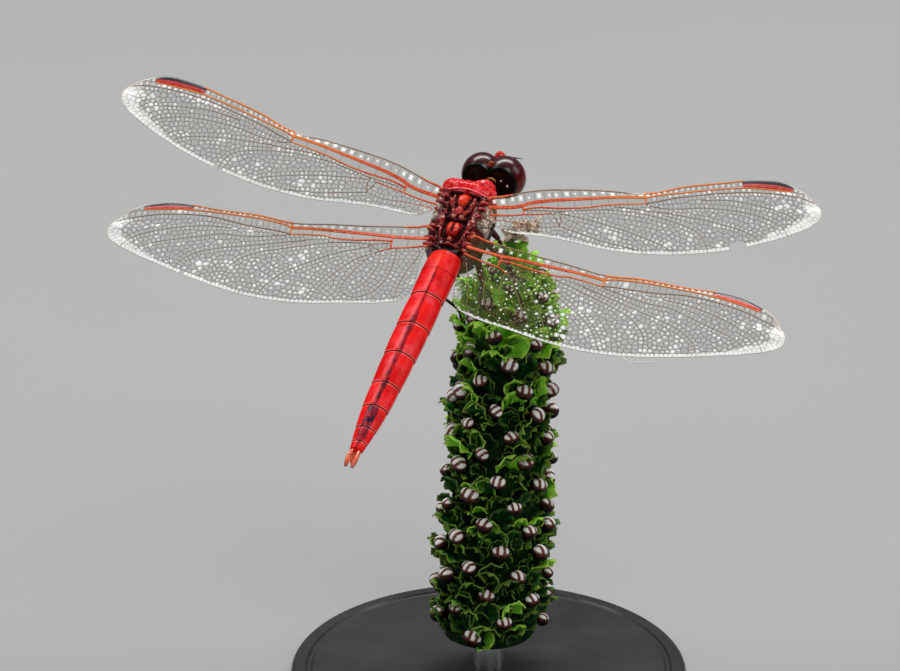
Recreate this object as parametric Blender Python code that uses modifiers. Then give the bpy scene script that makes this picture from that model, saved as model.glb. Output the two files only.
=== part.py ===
"""A red skimmer dragonfly at rest on the tip of a flower spike, as a still, life-size museum model.

The insect is modelled in its own body frame: X to its left, Y to its tail, Z up, with the origin midway
between the wing roots. One empty, "body", turns and lifts that frame into place. In the model's frame the
insect faces -Y, its left wings reach to +X, and the stand's underside lies on Z = 0.
"""

import math

import bmesh
import bpy
from mathutils import Matrix, Vector

MM = 0.001
GAP = 0.08 * MM  # kept between neighbouring solids

# How the insect sits on its perch.
BODY_PITCH = math.radians(28.2)  # head up
BODY_ROLL = math.radians(7.4)  # left side up
HEAD_PITCH = math.radians(6)  # the head stays nearly level
HEAD_YAW = math.radians(3)  # and looks a little to its right
HEAD_ROLL = math.radians(1.5)

# The stand and the flower spike.
BASE_RADIUS = 26 * MM
BASE_HEIGHT = 4 * MM
BASE_BEVEL = 0.8 * MM
ROD_RADIUS = 1.5 * MM
ROD_HEIGHT = 5 * MM
SPIKE_LENGTH = 54.7 * MM
SPIKE_LEAN = Vector((-0.0485, -0.0174, 1)).normalized()
# How thick the spike is between its flowers: depth below the tip and radius, in millimetres.
SPIKE_PROFILE = [(0, 0), (0.4, 0.9), (1.9, 1.5), (3.4, 2.8), (6.2, 4.4), (10, 5.1), (25, 5.5), (54.7, 6.5)]
FLOWERS = 110
FLOWER_RADIUS = 1.35 * MM
FLOWER_HEIGHT = 1.6 * MM
FLOWER_TURN = math.radians(137.5)
SPIKE_COLUMNS = 26
SPIKE_ROWS = 46
# The dried buds at the very tip, which lean to one side.
BUDS_OFFSET = Vector((-0.7, -0.25, 0.95)) * MM
BUDS_RADII = Vector((2.2, 1.7, 1.6)) * MM

# From the spike's tip to the middle of the thorax, in the model's frame.
TIP_TO_THORAX = Vector((3.6, 10.35, 5.8)) * MM

# Wings.
WING_THICKNESS = 0.5 * MM

# Outlines in millimetres: out along the wing, then back from the line of its root. Round stretches are
# smoothed by the curve, so each list holds only the turns of the edge.
FORE_OUTLINE = [
    (-0.5, -0.2), (1.5, -0.75), (5, -1.55), (10, -1.9), (15, -1.8), (19.8, -1.3), (25, -2.4),
    (30, -3.0), (35, -3.35), (38.7, -2.75), (41.1, -0.8), (42.2, 1.4), (41.1, 3.2), (38.3, 4.7),
    (34.8, 5.9), (30, 7.05), (25, 7.7), (20, 7.95), (15.5, 7.5), (10.5, 6.35), (6, 5.3), (3, 4.9),
    (1.2, 4.5), (0.1, 3.6), (-0.5, 3.0),
]
HIND_OUTLINE = [
    (-0.5, 0.2), (1.5, 0.2), (6, 0.25), (12, 0.15), (17.2, 0.2), (22, -0.85), (27, -1.6),
    (32, -2.3), (35.2, -2.1), (37.6, -1.25), (39.7, 0.5), (40.7, 2.5), (39.6, 4.2), (37.2, 5.6),
    (33, 7.5), (28, 9.5), (22.5, 11.25), (17.5, 12.2), (13, 12.5), (8, 12.15), (3.5, 11.85),
    (1.25, 11.1), (0.3, 9), (0.1, 6), (-0.2, 4.2), (-0.5, 3.2),
]
# Each wing's root in the body frame, then its forward sweep, rise and twist, in degrees.
WINGS = {
    "wing_fore_left": (FORE_OUTLINE, 1, (3.47, -2.86, 1.9), (4.2, 5.7, 4.7)),
    "wing_fore_right": (FORE_OUTLINE, -1, (-3.47, -2.86, 1.9), (23.8, -10.5, 6.9)),
    "wing_hind_left": (HIND_OUTLINE, 1, (3.14, 3.03, 1.64), (-7.4, -6.1, 3.2)),
    "wing_hind_right": (HIND_OUTLINE, -1, (-3.14, 3.03, 1.64), (-2.6, -3.5, 1.0)),
}

# The thorax, front to rear, in millimetres: place along Y, half width, top, bottom.
THORAX_STATIONS = [
    (-6.4, 1.9, -0.4, -3.7),
    (-5.6, 3.0, 0.8, -4.6),
    (-4.3, 3.75, 1.9, -5.6),
    (-2.6, 3.95, 2.25, -6.3),
    (-0.4, 3.85, 2.2, -6.6),
    (2.0, 3.6, 2.15, -6.3),
    (4.0, 3.2, 1.95, -5.2),
    (5.1, 2.6, 1.6, -3.9),
    (5.6, 2.0, 1.2, -2.9),
]
THORAX_SIDES = 24
THORAX_TOP_POWER = 3.2
THORAX_BELLY_POWER = 2.2

# The abdomen leaves the thorax along this line and has ten segments.
ABDOMEN_START = Vector((-0.25, 5.7, 0.35)) * MM
ABDOMEN_RISE = math.radians(0.6)
ABDOMEN_SWING = math.radians(2.9)  # to the insect's left
SEGMENT_LENGTHS = [1.0, 2.5, 4.1, 5.0, 4.8, 4.9, 3.7, 3.3, 2.1, 1.2]
SEGMENT_WIDTHS = [3.5, 4.2, 4.45, 4.25, 4.3, 4.05, 3.65, 3.3, 2.55, 1.95, 1.6]
RIDGE_TO_WIDTH = 0.34  # height of the back's ridge over the sides, for each unit of width
BELLY_TO_WIDTH = 0.36
BASE_SWELL = 0.16  # how much deeper the belly is at the first segments
SEGMENT_SIDES = 20
SEGMENT_LIP = 0.05  # each segment's rear rim stands out over the next one
RIDGE_POWER = 1.6
BELLY_POWER = 2.2
CERCUS_LENGTH = 2.5 * MM

# The head, in its own frame with the origin at its middle and the face to -Y.
HEAD_CENTRE = Vector((-1.5, -10.1, -2.15)) * MM  # in the body frame
EYE_RADII = Vector((2.5, 2.6, 2.75)) * MM
EYE_CENTRE = Vector((1.68, 0, 0.25)) * MM
EYE_TILT = math.radians(20)  # the tops lean together
EYE_BACK = 1.35 * MM  # the eyes end on this plane at the back of the head
# The face and the back of the head: middle, radii, and the cuts that part them, in millimetres.
# Each cut is the axis it crosses, where, and the side that is kept.
HEAD_PIECES = {
    "frons": ((0, -1.75, 0.35), (1.75, 1.65, 1.35), [("Z", -0.25, 1), ("Y", -0.6, -1)]),
    "clypeus": ((0, -1.75, -1.0), (1.85, 1.5, 1.3), [("Z", -0.25, -1), ("Z", -1.75, 1), ("Y", -0.6, -1)]),
    "labrum": ((0, -1.35, -1.9), (1.8, 1.55, 1.2), [("Z", -1.75, -1), ("Y", -0.6, -1)]),
    "head": ((0, 0.55, -0.35), (3.3, 1.5, 2.55), [("Y", -0.6, 1)]),
}

# Legs: hip in the body frame, then the angle round the spike and the depth below its tip of the ankle
# and of the claws, then which way the knee bends in the body frame, then the lengths of femur and tibia,
# all in millimetres and degrees.
LEGS = {
    "leg_front_left": ((0.9, -5.3, -4.75), (24, 3.2), (-6, 4.2), (0.9, -0.4, 0.3), (3.8, 3.4)),
    "leg_front_right": ((-0.9, -5.3, -4.75), (116, 3.2), (142, 4.2), (-0.9, -0.4, 0.3), (3.8, 3.4)),
    "leg_middle_left": ((1.3, -3.6, -6.0), (5, 6.0), (-10, 7.6), (1, 0.2, 0.3), (5.4, 5.0)),
    "leg_middle_right": ((-1.3, -3.6, -6.0), (122, 5.8), (132, 7.4), (-1, 0.2, 0.3), (5.4, 5.0)),
    "leg_hind_left": ((1.5, -1.6, -6.4), (38, 8.4), (31, 10.4), (0.7, 0.7, 0.3), (6.2, 6.4)),
    "leg_hind_right": ((-1.5, -1.6, -6.4), (72, 6.4), (86, 8.4), (-0.4, 0.8, 0.5), (5.4, 6.0)),
}
FEMUR_RADII = (0.5 * MM, 0.38 * MM)
TIBIA_RADII = (0.33 * MM, 0.27 * MM)
TARSUS_RADII = (0.27 * MM, 0.25 * MM)

COLOURS = {
    "chitin_red": ((0.62, 0.02, 0.015), 0.35, 0.0),
    "chitin_dark_red": ((0.24, 0.012, 0.01), 0.3, 0.0),
    "eye_maroon": ((0.09, 0.006, 0.008), 0.12, 0.0),
    "leg_brown": ((0.06, 0.02, 0.012), 0.4, 0.0),
    "wing_membrane": ((0.80, 0.72, 0.50), 0.2, 0.0),
    "plant_green": ((0.07, 0.26, 0.03), 0.6, 0.0),
    "bud_brown": ((0.30, 0.14, 0.09), 0.6, 0.0),
    "stand_black": ((0.02, 0.02, 0.022), 0.35, 0.0),
    "stand_steel": ((0.55, 0.55, 0.56), 0.3, 1.0),
}


def clear_scene():
    for obj in list(bpy.data.objects):
        bpy.data.objects.remove(obj, do_unlink=True)
    for name in ("Dragonfly", "Cutters"):
        bpy.context.scene.collection.children.link(bpy.data.collections.new(name))


def material(name):
    """A plain Principled material from the table above, made once."""
    found = bpy.data.materials.get(name)
    if found:
        return found
    colour, roughness, metallic = COLOURS[name]
    made = bpy.data.materials.new(name)
    made.use_nodes = True
    shader = made.node_tree.nodes["Principled BSDF"]
    shader.inputs["Base Color"].default_value = (*colour, 1)
    shader.inputs["Roughness"].default_value = roughness
    shader.inputs["Metallic"].default_value = metallic
    made.diffuse_color = (*colour, 1)
    return made


def finished(obj, name, finish, parent=None):
    """Names an object, files it with the dragonfly, and gives it its material and parent."""
    obj.name = name
    obj.data.name = name
    for collection in list(obj.users_collection):
        collection.objects.unlink(obj)
    bpy.data.collections["Dragonfly"].objects.link(obj)
    obj.data.materials.clear()
    obj.data.materials.append(material(finish))
    obj.parent = parent
    if obj.type == "MESH":
        obj.data.shade_smooth()
        obj.data.set_sharp_from_angle(angle=math.radians(40))
    return obj


def mesh_object(bm, name):
    """An object from a bmesh, with its faces turned outwards."""
    bmesh.ops.recalc_face_normals(bm, faces=bm.faces)
    mesh = bpy.data.meshes.new(name)
    bm.to_mesh(mesh)
    bm.free()
    return bpy.data.objects.new(name, mesh)


def as_mesh(curve_object):
    """A curve object made a closed mesh object, with its loose caps welded."""
    bpy.context.scene.collection.objects.link(curve_object)
    bpy.context.view_layer.update()
    graph = bpy.context.evaluated_depsgraph_get()
    mesh = bpy.data.meshes.new_from_object(curve_object.evaluated_get(graph))
    bm = bmesh.new()
    bm.from_mesh(mesh)
    bmesh.ops.remove_doubles(bm, verts=bm.verts, dist=0.002 * MM)
    bmesh.ops.recalc_face_normals(bm, faces=bm.faces)
    bm.to_mesh(mesh)
    bm.free()
    obj = bpy.data.objects.new(curve_object.name, mesh)
    obj.matrix_world = curve_object.matrix_world
    bpy.data.objects.remove(curve_object, do_unlink=True)
    return obj


def loft(rings, name):
    """A closed skin over rings that all have the same number of points."""
    bm = bmesh.new()
    loops = [[bm.verts.new(point) for point in ring] for ring in rings]
    count = len(rings[0])
    for near, far in zip(loops, loops[1:]):
        for i in range(count):
            j = (i + 1) % count
            bm.faces.new((near[i], near[j], far[j], far[i]))
    bm.faces.new(loops[0])
    bm.faces.new(loops[-1])
    return mesh_object(bm, name)


def power_ring(y, half_width, top, bottom, middle, sides, top_power, bottom_power):
    """A section across Y: rounder or more roof-like above and below its widest line as the powers say."""
    ring = []
    for i in range(sides):
        angle = 2 * math.pi * i / sides
        c, s = math.cos(angle), math.sin(angle)
        power = 2 / (top_power if s >= 0 else bottom_power)
        reach = top - middle if s >= 0 else middle - bottom
        x = math.copysign(abs(c) ** power, c) * half_width
        z = math.copysign(abs(s) ** power, s) * reach
        ring.append(Vector((x, y, middle + z)))
    return ring


def swollen(obj, by):
    """A hidden copy of obj, larger all round, for cutting its neighbours."""
    copy = bpy.data.objects.new(obj.name + "_cutter", obj.data.copy())
    bpy.data.collections["Cutters"].objects.link(copy)
    bm = bmesh.new()
    bm.from_mesh(copy.data)
    bm.normal_update()
    shifts = [(vert, vert.normal * by) for vert in bm.verts]
    for vert, shift in shifts:
        vert.co += shift
    bm.to_mesh(copy.data)
    bm.free()
    copy.parent = obj.parent
    copy.matrix_local = obj.matrix_local
    copy.hide_render = True
    copy.display_type = "WIRE"
    return copy


def carve(obj, *neighbours):
    """Cuts room for each neighbour out of obj, with the gap between them."""
    for neighbour in neighbours:
        cut = obj.modifiers.new("room_for_" + neighbour.name, "BOOLEAN")
        cut.operation = "DIFFERENCE"
        cut.solver = "EXACT"
        cut.object = swollen(neighbour, GAP)


def ellipsoid(name, centre, radii, finish, parent, segments=20, rings=12):
    bpy.ops.mesh.primitive_uv_sphere_add(segments=segments, ring_count=rings, radius=1)
    obj = bpy.context.active_object
    obj.data.transform(Matrix.Diagonal((*radii, 1)))
    finished(obj, name, finish, parent)
    obj.location = centre
    return obj


def tube(name, points, radii, finish, parent=None):
    """A tapered limb along points."""
    curve = bpy.data.curves.new(name, "CURVE")
    curve.dimensions = "3D"
    curve.bevel_depth = 1
    curve.bevel_resolution = 1
    curve.use_fill_caps = True
    spline = curve.splines.new("POLY")
    spline.points.add(len(points) - 1)
    for target, place, radius in zip(spline.points, points, radii):
        target.co = (*place, 1)
        target.radius = radius
    obj = as_mesh(bpy.data.objects.new(name, curve))
    return finished(obj, name, finish, parent)


def make_stand():
    bpy.ops.mesh.primitive_cylinder_add(
        vertices=40, radius=BASE_RADIUS, depth=BASE_HEIGHT, location=(0, 0, BASE_HEIGHT / 2)
    )
    base = finished(bpy.context.active_object, "stand_base", "stand_black")
    edge = base.modifiers.new("rounded_rim", "BEVEL")
    edge.width = BASE_BEVEL
    edge.segments = 1
    edge.angle_limit = math.radians(60)
    edge.limit_method = "ANGLE"
    bpy.ops.mesh.primitive_cylinder_add(
        vertices=16,
        radius=ROD_RADIUS,
        depth=ROD_HEIGHT - 2 * GAP,
        location=(0, 0, BASE_HEIGHT + ROD_HEIGHT / 2),
    )
    finished(bpy.context.active_object, "stand_rod", "stand_steel")


def spike_tip():
    return Vector((0, 0, BASE_HEIGHT + ROD_HEIGHT)) + SPIKE_LEAN * SPIKE_LENGTH


def stem_radius(depth):
    """Radius of the spike between its flowers, at a depth below its tip."""
    for (near, thin), (far, thick) in zip(SPIKE_PROFILE, SPIKE_PROFILE[1:]):
        if depth <= far * MM:
            share = (depth - near * MM) / ((far - near) * MM)
            return (thin + (thick - thin) * share) * MM
    return SPIKE_PROFILE[-1][1] * MM


def on_spike(angle, depth, out):
    """A point at an angle round the spike, a depth below its tip and a distance from its axis."""
    side = Vector((math.cos(angle), math.sin(angle), 0))
    return spike_tip() - SPIKE_LEAN * depth + side * out


def flower_centres():
    """Where each flower sits: a spiral down the spike, with steps even enough to cover it."""
    for i in range(FLOWERS):
        depth = 1.8 * MM + (i + 0.5) / FLOWERS * (SPIKE_LENGTH - 3.2 * MM)
        yield on_spike(i * FLOWER_TURN, depth, stem_radius(depth))


def skin_radius(angle, depth, flowers):
    """Radius of the spike's skin, which rises over each flower near it."""
    stem = stem_radius(depth)
    skin = on_spike(angle, depth, stem)
    rise = 0.0
    for centre in flowers:
        near = (skin - centre).length / FLOWER_RADIUS
        if near < 1:
            rise = max(rise, FLOWER_HEIGHT * math.sqrt(1 - near**2))
    return stem + rise


def make_spike():
    """The spike's stem with its flowers as knobs, as one skin pushed out where each flower sits."""
    flowers = list(flower_centres())
    rings = []
    for row in range(SPIKE_ROWS + 1):
        depth = SPIKE_LENGTH * (0.003 + 0.997 * row / SPIKE_ROWS)
        ring = []
        for column in range(SPIKE_COLUMNS):
            angle = 2 * math.pi * (column + 0.5 * (row % 2)) / SPIKE_COLUMNS
            ring.append(on_spike(angle, depth, skin_radius(angle, depth, flowers)))
        rings.append(ring)
    spike = finished(loft(rings, "perch_spike"), "perch_spike", "plant_green")
    buds = ellipsoid("perch_buds", spike_tip() + BUDS_OFFSET, BUDS_RADII, "bud_brown", None, 12, 8)
    carve(buds, spike)


def make_body_frame():
    """The empty that carries the insect's body frame into place."""
    body = bpy.data.objects.new("body", None)
    bpy.data.collections["Dragonfly"].objects.link(body)
    turn = Matrix.Rotation(-BODY_PITCH, 4, "X") @ Matrix.Rotation(-BODY_ROLL, 4, "Y")
    body.matrix_world = Matrix.Translation(spike_tip() + TIP_TO_THORAX) @ turn
    bpy.context.view_layer.update()
    return body


def make_head_frame(body):
    """The empty at the middle of the head, which is turned on its own."""
    head = bpy.data.objects.new("head_frame", None)
    bpy.data.collections["Dragonfly"].objects.link(head)
    turn = (
        Matrix.Rotation(-HEAD_YAW, 4, "Z")
        @ Matrix.Rotation(-HEAD_PITCH, 4, "X")
        @ Matrix.Rotation(-HEAD_ROLL, 4, "Y")
    )
    head.matrix_world = Matrix.Translation(body.matrix_world @ HEAD_CENTRE) @ turn
    bpy.context.view_layer.update()
    return head


def make_wing(name, outline, side, root, angles, body):
    """A flat blade cut to the wing's outline, turned about its root."""
    curve = bpy.data.curves.new(name, "CURVE")
    curve.dimensions = "2D"
    curve.fill_mode = "BOTH"
    curve.extrude = WING_THICKNESS / 2
    curve.resolution_u = 3
    spline = curve.splines.new("BEZIER")
    spline.bezier_points.add(len(outline) - 1)
    for target, (along, back) in zip(spline.bezier_points, outline):
        target.co = (side * along * MM, back * MM, 0)
        target.handle_left_type = "AUTO"
        target.handle_right_type = "AUTO"
    spline.use_cyclic_u = True
    wing = finished(as_mesh(bpy.data.objects.new(name, curve)), name, "wing_membrane", body)
    sweep, rise, twist = (math.radians(a) for a in angles)
    turn = (
        Matrix.Rotation(-side * sweep, 4, "Z")
        @ Matrix.Rotation(-side * rise, 4, "Y")
        @ Matrix.Rotation(-twist, 4, "X")
    )
    wing.matrix_local = Matrix.Translation(Vector(root) * MM) @ turn
    return wing


def make_thorax(body, wings):
    rings = [
        power_ring(
            y * MM, wide * MM, top * MM, bottom * MM, (0.55 * top + 0.45 * bottom) * MM,
            THORAX_SIDES, THORAX_TOP_POWER, THORAX_BELLY_POWER,
        )
        for y, wide, top, bottom in THORAX_STATIONS
    ]
    thorax = finished(loft(rings, "thorax"), "thorax", "chitin_red", body)
    fore = ellipsoid(
        "mesonotum", Vector((0, -1.0, 1.75)) * MM, Vector((1.9, 2.6, 1.15)) * MM,
        "chitin_dark_red", body, 16, 10,
    )
    hind = ellipsoid(
        "metanotum", Vector((0, 3.6, 1.5)) * MM, Vector((1.7, 1.7, 1.1)) * MM,
        "chitin_dark_red", body, 16, 10,
    )
    neck = ellipsoid(
        "prothorax", Vector((-0.4, -7.0, -2.2)) * MM, Vector((1.7, 1.3, 1.6)) * MM,
        "chitin_red", body, 16, 10,
    )
    carve(fore, wings["wing_fore_left"], wings["wing_fore_right"])
    carve(hind, wings["wing_hind_left"], wings["wing_hind_right"], fore)
    carve(thorax, fore, hind, *wings.values())
    carve(neck, thorax)
    return thorax, neck, hind


def abdomen_frame(body):
    """The empty at the abdomen's root, with Y down its length."""
    frame = bpy.data.objects.new("abdomen_frame", None)
    bpy.data.collections["Dragonfly"].objects.link(frame)
    frame.parent = body
    frame.matrix_local = (
        Matrix.Translation(ABDOMEN_START)
        @ Matrix.Rotation(-ABDOMEN_SWING, 4, "Z")
        @ Matrix.Rotation(ABDOMEN_RISE, 4, "X")
    )
    bpy.context.view_layer.update()
    return frame


def segment_ring(y, width, swell):
    return power_ring(
        y, width / 2, RIDGE_TO_WIDTH * width, -(BELLY_TO_WIDTH + swell) * width, 0,
        SEGMENT_SIDES, RIDGE_POWER, BELLY_POWER,
    )


def make_abdomen(body, thorax, hind_notum):
    frame = abdomen_frame(body)
    start = 0.0
    for number, length in enumerate(SEGMENT_LENGTHS, 1):
        front, rear = SEGMENT_WIDTHS[number - 1], SEGMENT_WIDTHS[number]
        if number > 1:
            front *= 1 - SEGMENT_LIP
        swell = [BASE_SWELL * max(0.0, 1 - (start + length * t) / 9.0) for t in (0, 0.5, 1)]
        middle = (front + rear) / 2 * 1.03
        rings = [
            segment_ring(start * MM + GAP / 2, front * MM, swell[0]),
            segment_ring((start + length * 0.5) * MM, middle * MM, swell[1]),
            segment_ring((start + length) * MM - GAP / 2, rear * MM, swell[2]),
        ]
        name = f"abdomen_{number:02d}"
        piece = finished(loft(rings, name), name, "chitin_red", frame)
        if number == 1:
            carve(piece, thorax, hind_notum)
        start += length
    make_tail_claspers(frame, start * MM)


def make_tail_claspers(frame, start):
    """The two upper claspers and the plate under them, at the end of the abdomen."""
    for side, name in ((1, "cercus_left"), (-1, "cercus_right")):
        shape = [(0.42, GAP / MM, 0.18), (0.5, 1.0, 0.22), (0.42, 1.9, 0.14), (0.36, CERCUS_LENGTH / MM, 0.0)]
        points = [Vector((side * x, y, z)) * MM + Vector((0, start, 0)) for x, y, z in shape]
        tube(name, points, [0.28 * MM, 0.33 * MM, 0.3 * MM, 0.25 * MM], "chitin_red", frame)
    plate = [
        power_ring(start + GAP, 0.55 * MM, -0.22 * MM, -0.75 * MM, -0.5 * MM, 12, 2, 2),
        power_ring(start + 1.7 * MM, 0.3 * MM, -0.22 * MM, -0.72 * MM, -0.45 * MM, 12, 2, 2),
    ]
    finished(loft(plate, "epiproct"), "epiproct", "chitin_red", frame)


def part_off(obj, axis, place, keep):
    """Cuts a closed mesh flat across an axis, half a gap short of a place, and keeps one side of it."""
    normal = Vector((axis == "X", axis == "Y", axis == "Z"))
    bm = bmesh.new()
    bm.from_mesh(obj.data)
    bmesh.ops.bisect_plane(
        bm,
        geom=bm.verts[:] + bm.edges[:] + bm.faces[:],
        plane_co=normal * (place + keep * GAP / 2),
        plane_no=normal * keep,
        clear_inner=True,
    )
    bmesh.ops.holes_fill(bm, edges=[e for e in bm.edges if e.is_boundary])
    bm.to_mesh(obj.data)
    bm.free()


def make_eye(name, side, head):
    """One big eye, which meets the other along a flat seam."""
    eye = ellipsoid(name, (0, 0, 0), EYE_RADII, "eye_maroon", head, 20, 12)
    centre = Vector((side * EYE_CENTRE.x, EYE_CENTRE.y, EYE_CENTRE.z))
    eye.data.transform(Matrix.Translation(centre) @ Matrix.Rotation(-side * EYE_TILT, 4, "Y"))
    part_off(eye, "X", 0, side)
    part_off(eye, "Y", EYE_BACK, -1)
    return eye


def make_head(head, neck):
    """Two eyes, and the face and back of the head let in between them."""
    eyes = [make_eye("eye_left", 1, head), make_eye("eye_right", -1, head)]
    for name, (centre, radii, cuts) in HEAD_PIECES.items():
        piece = ellipsoid(name, (0, 0, 0), Vector(radii) * MM, "chitin_red", head, 16, 10)
        piece.data.transform(Matrix.Translation(Vector(centre) * MM))
        for axis, place, keep in cuts:
            part_off(piece, axis, place * MM, keep)
        carve(piece, *eyes)
    carve(bpy.data.objects["head"], neck)
    carve(neck, *eyes)
    for side, name in ((1, "antenna_left"), (-1, "antenna_right")):
        points = [(0.75, -2.95, 1.2), (1.05, -3.8, 1.05), (1.45, -4.6, 0.75), (1.95, -5.3, 0.4)]
        bristle = tube(
            name,
            [Vector((side * x, y, z)) * MM for x, y, z in points],
            [0.28 * MM, 0.25 * MM, 0.25 * MM, 0.25 * MM],
            "leg_brown",
            head,
        )
        carve(bristle, bpy.data.objects["frons"], *eyes)


def knee_between(hip, ankle, femur, tibia, towards):
    """Where the knee lies for two limb lengths, bent towards a direction."""
    line = ankle - hip
    axis = line.normalized()
    reach = min(line.length, 0.98 * (femur + tibia))
    along = (femur**2 - tibia**2 + reach**2) / (2 * reach)
    off = math.sqrt(max(0.0, femur**2 - along**2))
    bend = (towards - axis * towards.dot(axis)).normalized()
    return hip + axis * along + bend * off


def ankle_place(angle, depth):
    """A point that just clears the flowers of the spike."""
    clear = FLOWER_HEIGHT + TARSUS_RADII[0] + GAP
    return on_spike(math.radians(angle), depth * MM, stem_radius(depth * MM) + clear)


def foothold(angle, depth):
    """A point on the spike's own skin, for the claws to hold."""
    turn = math.radians(angle)
    skin = skin_radius(turn, depth * MM, list(flower_centres()))
    return on_spike(turn, depth * MM, skin + TARSUS_RADII[1] / 2)


def make_leg(name, hip, ankle_at, claws_at, bend, lengths, body, thorax):
    """Femur, tibia and tarsus, from a hip under the thorax to a foothold on the spike."""
    hip = body.matrix_world @ (Vector(hip) * MM)
    ankle = ankle_place(*ankle_at)
    claws = foothold(*claws_at)
    femur, tibia = (length * MM for length in lengths)
    knee = knee_between(hip, ankle, femur, tibia, body.matrix_world.to_3x3() @ Vector(bend))
    upper = tube(f"{name}_femur", [hip, knee], FEMUR_RADII, "leg_brown")
    lower = tube(f"{name}_tibia", [knee, ankle], TIBIA_RADII, "leg_brown")
    foot = tube(f"{name}_tarsus", [ankle, claws], TARSUS_RADII, "leg_brown")
    carve(upper, thorax)
    carve(lower, upper)
    carve(foot, lower, bpy.data.objects["perch_spike"])


def main():
    clear_scene()
    make_stand()
    make_spike()
    body = make_body_frame()
    head = make_head_frame(body)
    wings = {name: make_wing(name, *spec, body) for name, spec in WINGS.items()}
    thorax, neck, hind_notum = make_thorax(body, wings)
    make_abdomen(body, thorax, hind_notum)
    make_head(head, neck)
    for name, spec in LEGS.items():
        make_leg(name, *spec, body, thorax)


main()
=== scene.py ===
# %% [markdown]
# # A red skimmer dragonfly on the tip of a flower spike
# This lesson dresses a life-size museum model of a dragonfly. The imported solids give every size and
# place, and the pieces made here give the looks: ribbed wings, a jointed red skin, bristly legs, a
# leafy spike and a plain stand. Each step says what the real thing is and why it is made as it is.

import functools
import math
import random

import bmesh
import bpy
import numpy as np
from mathutils import Matrix, Vector, geometry, kdtree, noise


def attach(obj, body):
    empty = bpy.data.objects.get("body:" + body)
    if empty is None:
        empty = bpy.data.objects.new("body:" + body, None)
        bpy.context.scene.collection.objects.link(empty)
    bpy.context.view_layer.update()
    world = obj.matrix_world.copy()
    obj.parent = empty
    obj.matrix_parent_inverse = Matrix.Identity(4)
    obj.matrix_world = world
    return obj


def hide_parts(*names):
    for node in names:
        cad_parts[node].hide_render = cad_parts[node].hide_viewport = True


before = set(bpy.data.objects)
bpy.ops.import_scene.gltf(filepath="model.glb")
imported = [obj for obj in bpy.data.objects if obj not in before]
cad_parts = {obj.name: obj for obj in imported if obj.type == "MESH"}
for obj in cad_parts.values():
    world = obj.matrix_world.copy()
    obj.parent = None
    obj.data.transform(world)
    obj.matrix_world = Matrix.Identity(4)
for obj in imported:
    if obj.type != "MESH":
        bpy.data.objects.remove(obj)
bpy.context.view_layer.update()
print("solids:", len(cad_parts))

# %% [markdown]
# ## Sizes and frames
# A dragonfly is easiest to think about in its own frame: X to its left, Y to its tail, Z up. One
# matrix, BODY, carries that frame into the model, and smaller ones do the same for the head, the
# abdomen and each wing. All of them repeat the values that the solids were built with.

# %% Units and the insect's frames
MM = 0.001
SPIKE_FOOT = Vector((0, 0, 9)) * MM
SPIKE_LEAN = Vector((-0.0485, -0.0174, 1)).normalized()
SPIKE_LENGTH = 54.7 * MM
SPIKE_TIP = SPIKE_FOOT + SPIKE_LEAN * SPIKE_LENGTH
TIP_TO_THORAX = Vector((3.6, 10.35, 5.8)) * MM
SIDES = ((1, "left"), (-1, "right"))


def turned(degrees, axis):
    """A turn about one axis, from an angle in degrees."""
    return Matrix.Rotation(math.radians(degrees), 4, axis)


def shifted(x, y, z):
    """A move by millimetres."""
    return Matrix.Translation(Vector((x, y, z)) * MM)


BODY = Matrix.Translation(SPIKE_TIP + TIP_TO_THORAX) @ turned(-28.2, "X") @ turned(-7.4, "Y")
HEAD_PLACE = BODY @ (Vector((-1.5, -10.1, -2.15)) * MM)
HEAD = Matrix.Translation(HEAD_PLACE) @ turned(-3, "Z") @ turned(-6, "X") @ turned(-1.5, "Y")
ABDOMEN = BODY @ shifted(-0.25, 5.7, 0.35) @ turned(-2.9, "Z") @ turned(0.6, "X")
print("thorax at", [round(c / MM, 2) for c in BODY.translation])

# %% [markdown]
# ## Working as by hand
# Operators act on whatever is selected, so each step starts with nothing selected. These helpers
# select one object, open it for editing, join several or apply a modifier, as one would by hand.

# %% Selecting, opening and joining
def nothing_selected():
    """Leaves edit mode and deselects every object."""
    if bpy.context.object and bpy.context.object.mode == "EDIT":
        bpy.ops.object.mode_set(mode="OBJECT")
    bpy.ops.object.select_all(action="DESELECT")


def picked(obj):
    """Selects one object alone and makes it the active one."""
    nothing_selected()
    obj.select_set(True)
    bpy.context.view_layer.objects.active = obj
    return obj


def opened(obj, chosen="SELECT"):
    """Opens an object for editing with every corner chosen, or none with DESELECT."""
    picked(obj)
    bpy.ops.object.mode_set(mode="EDIT")
    bpy.ops.mesh.select_all(action=chosen)
    return bmesh.from_edit_mesh(obj.data)


def closed(obj):
    """Ends the editing of an object."""
    bpy.ops.object.mode_set(mode="OBJECT")
    return obj


def joined(objects, name):
    """Several objects made one."""
    nothing_selected()
    for obj in objects:
        obj.select_set(True)
    bpy.context.view_layer.objects.active = objects[0]
    bpy.ops.object.join()
    objects[0].name = name
    return objects[0]


def facing_out(obj):
    """Merges doubles and turns every face outwards."""
    opened(obj)
    bpy.ops.mesh.remove_doubles(threshold=0.0005 * MM)
    bpy.ops.mesh.normals_make_consistent(inside=False)
    return closed(obj)


def modified(obj, kind, **settings):
    """Adds one modifier and applies it."""
    picked(obj)
    made = obj.modifiers.new(kind.title(), kind)
    for key, value in settings.items():
        setattr(made, key, value)
    bpy.ops.object.modifier_apply(modifier=made.name)
    return obj


print("hand tools ready")

# %% [markdown]
# ## Closing a piece
# When a piece is done, its place is written into its mesh, it gets its name and its finish, and it
# says which solids it stands for. Numbers that a finish needs, such as how deep a groove is, are kept
# on the mesh.

# %% Closing a piece
def in_scene(name, data):
    """A new object in the scene for a mesh, a curve, a lamp or a camera."""
    obj = bpy.data.objects.new(name, data)
    bpy.context.scene.collection.objects.link(obj)
    return obj


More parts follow.
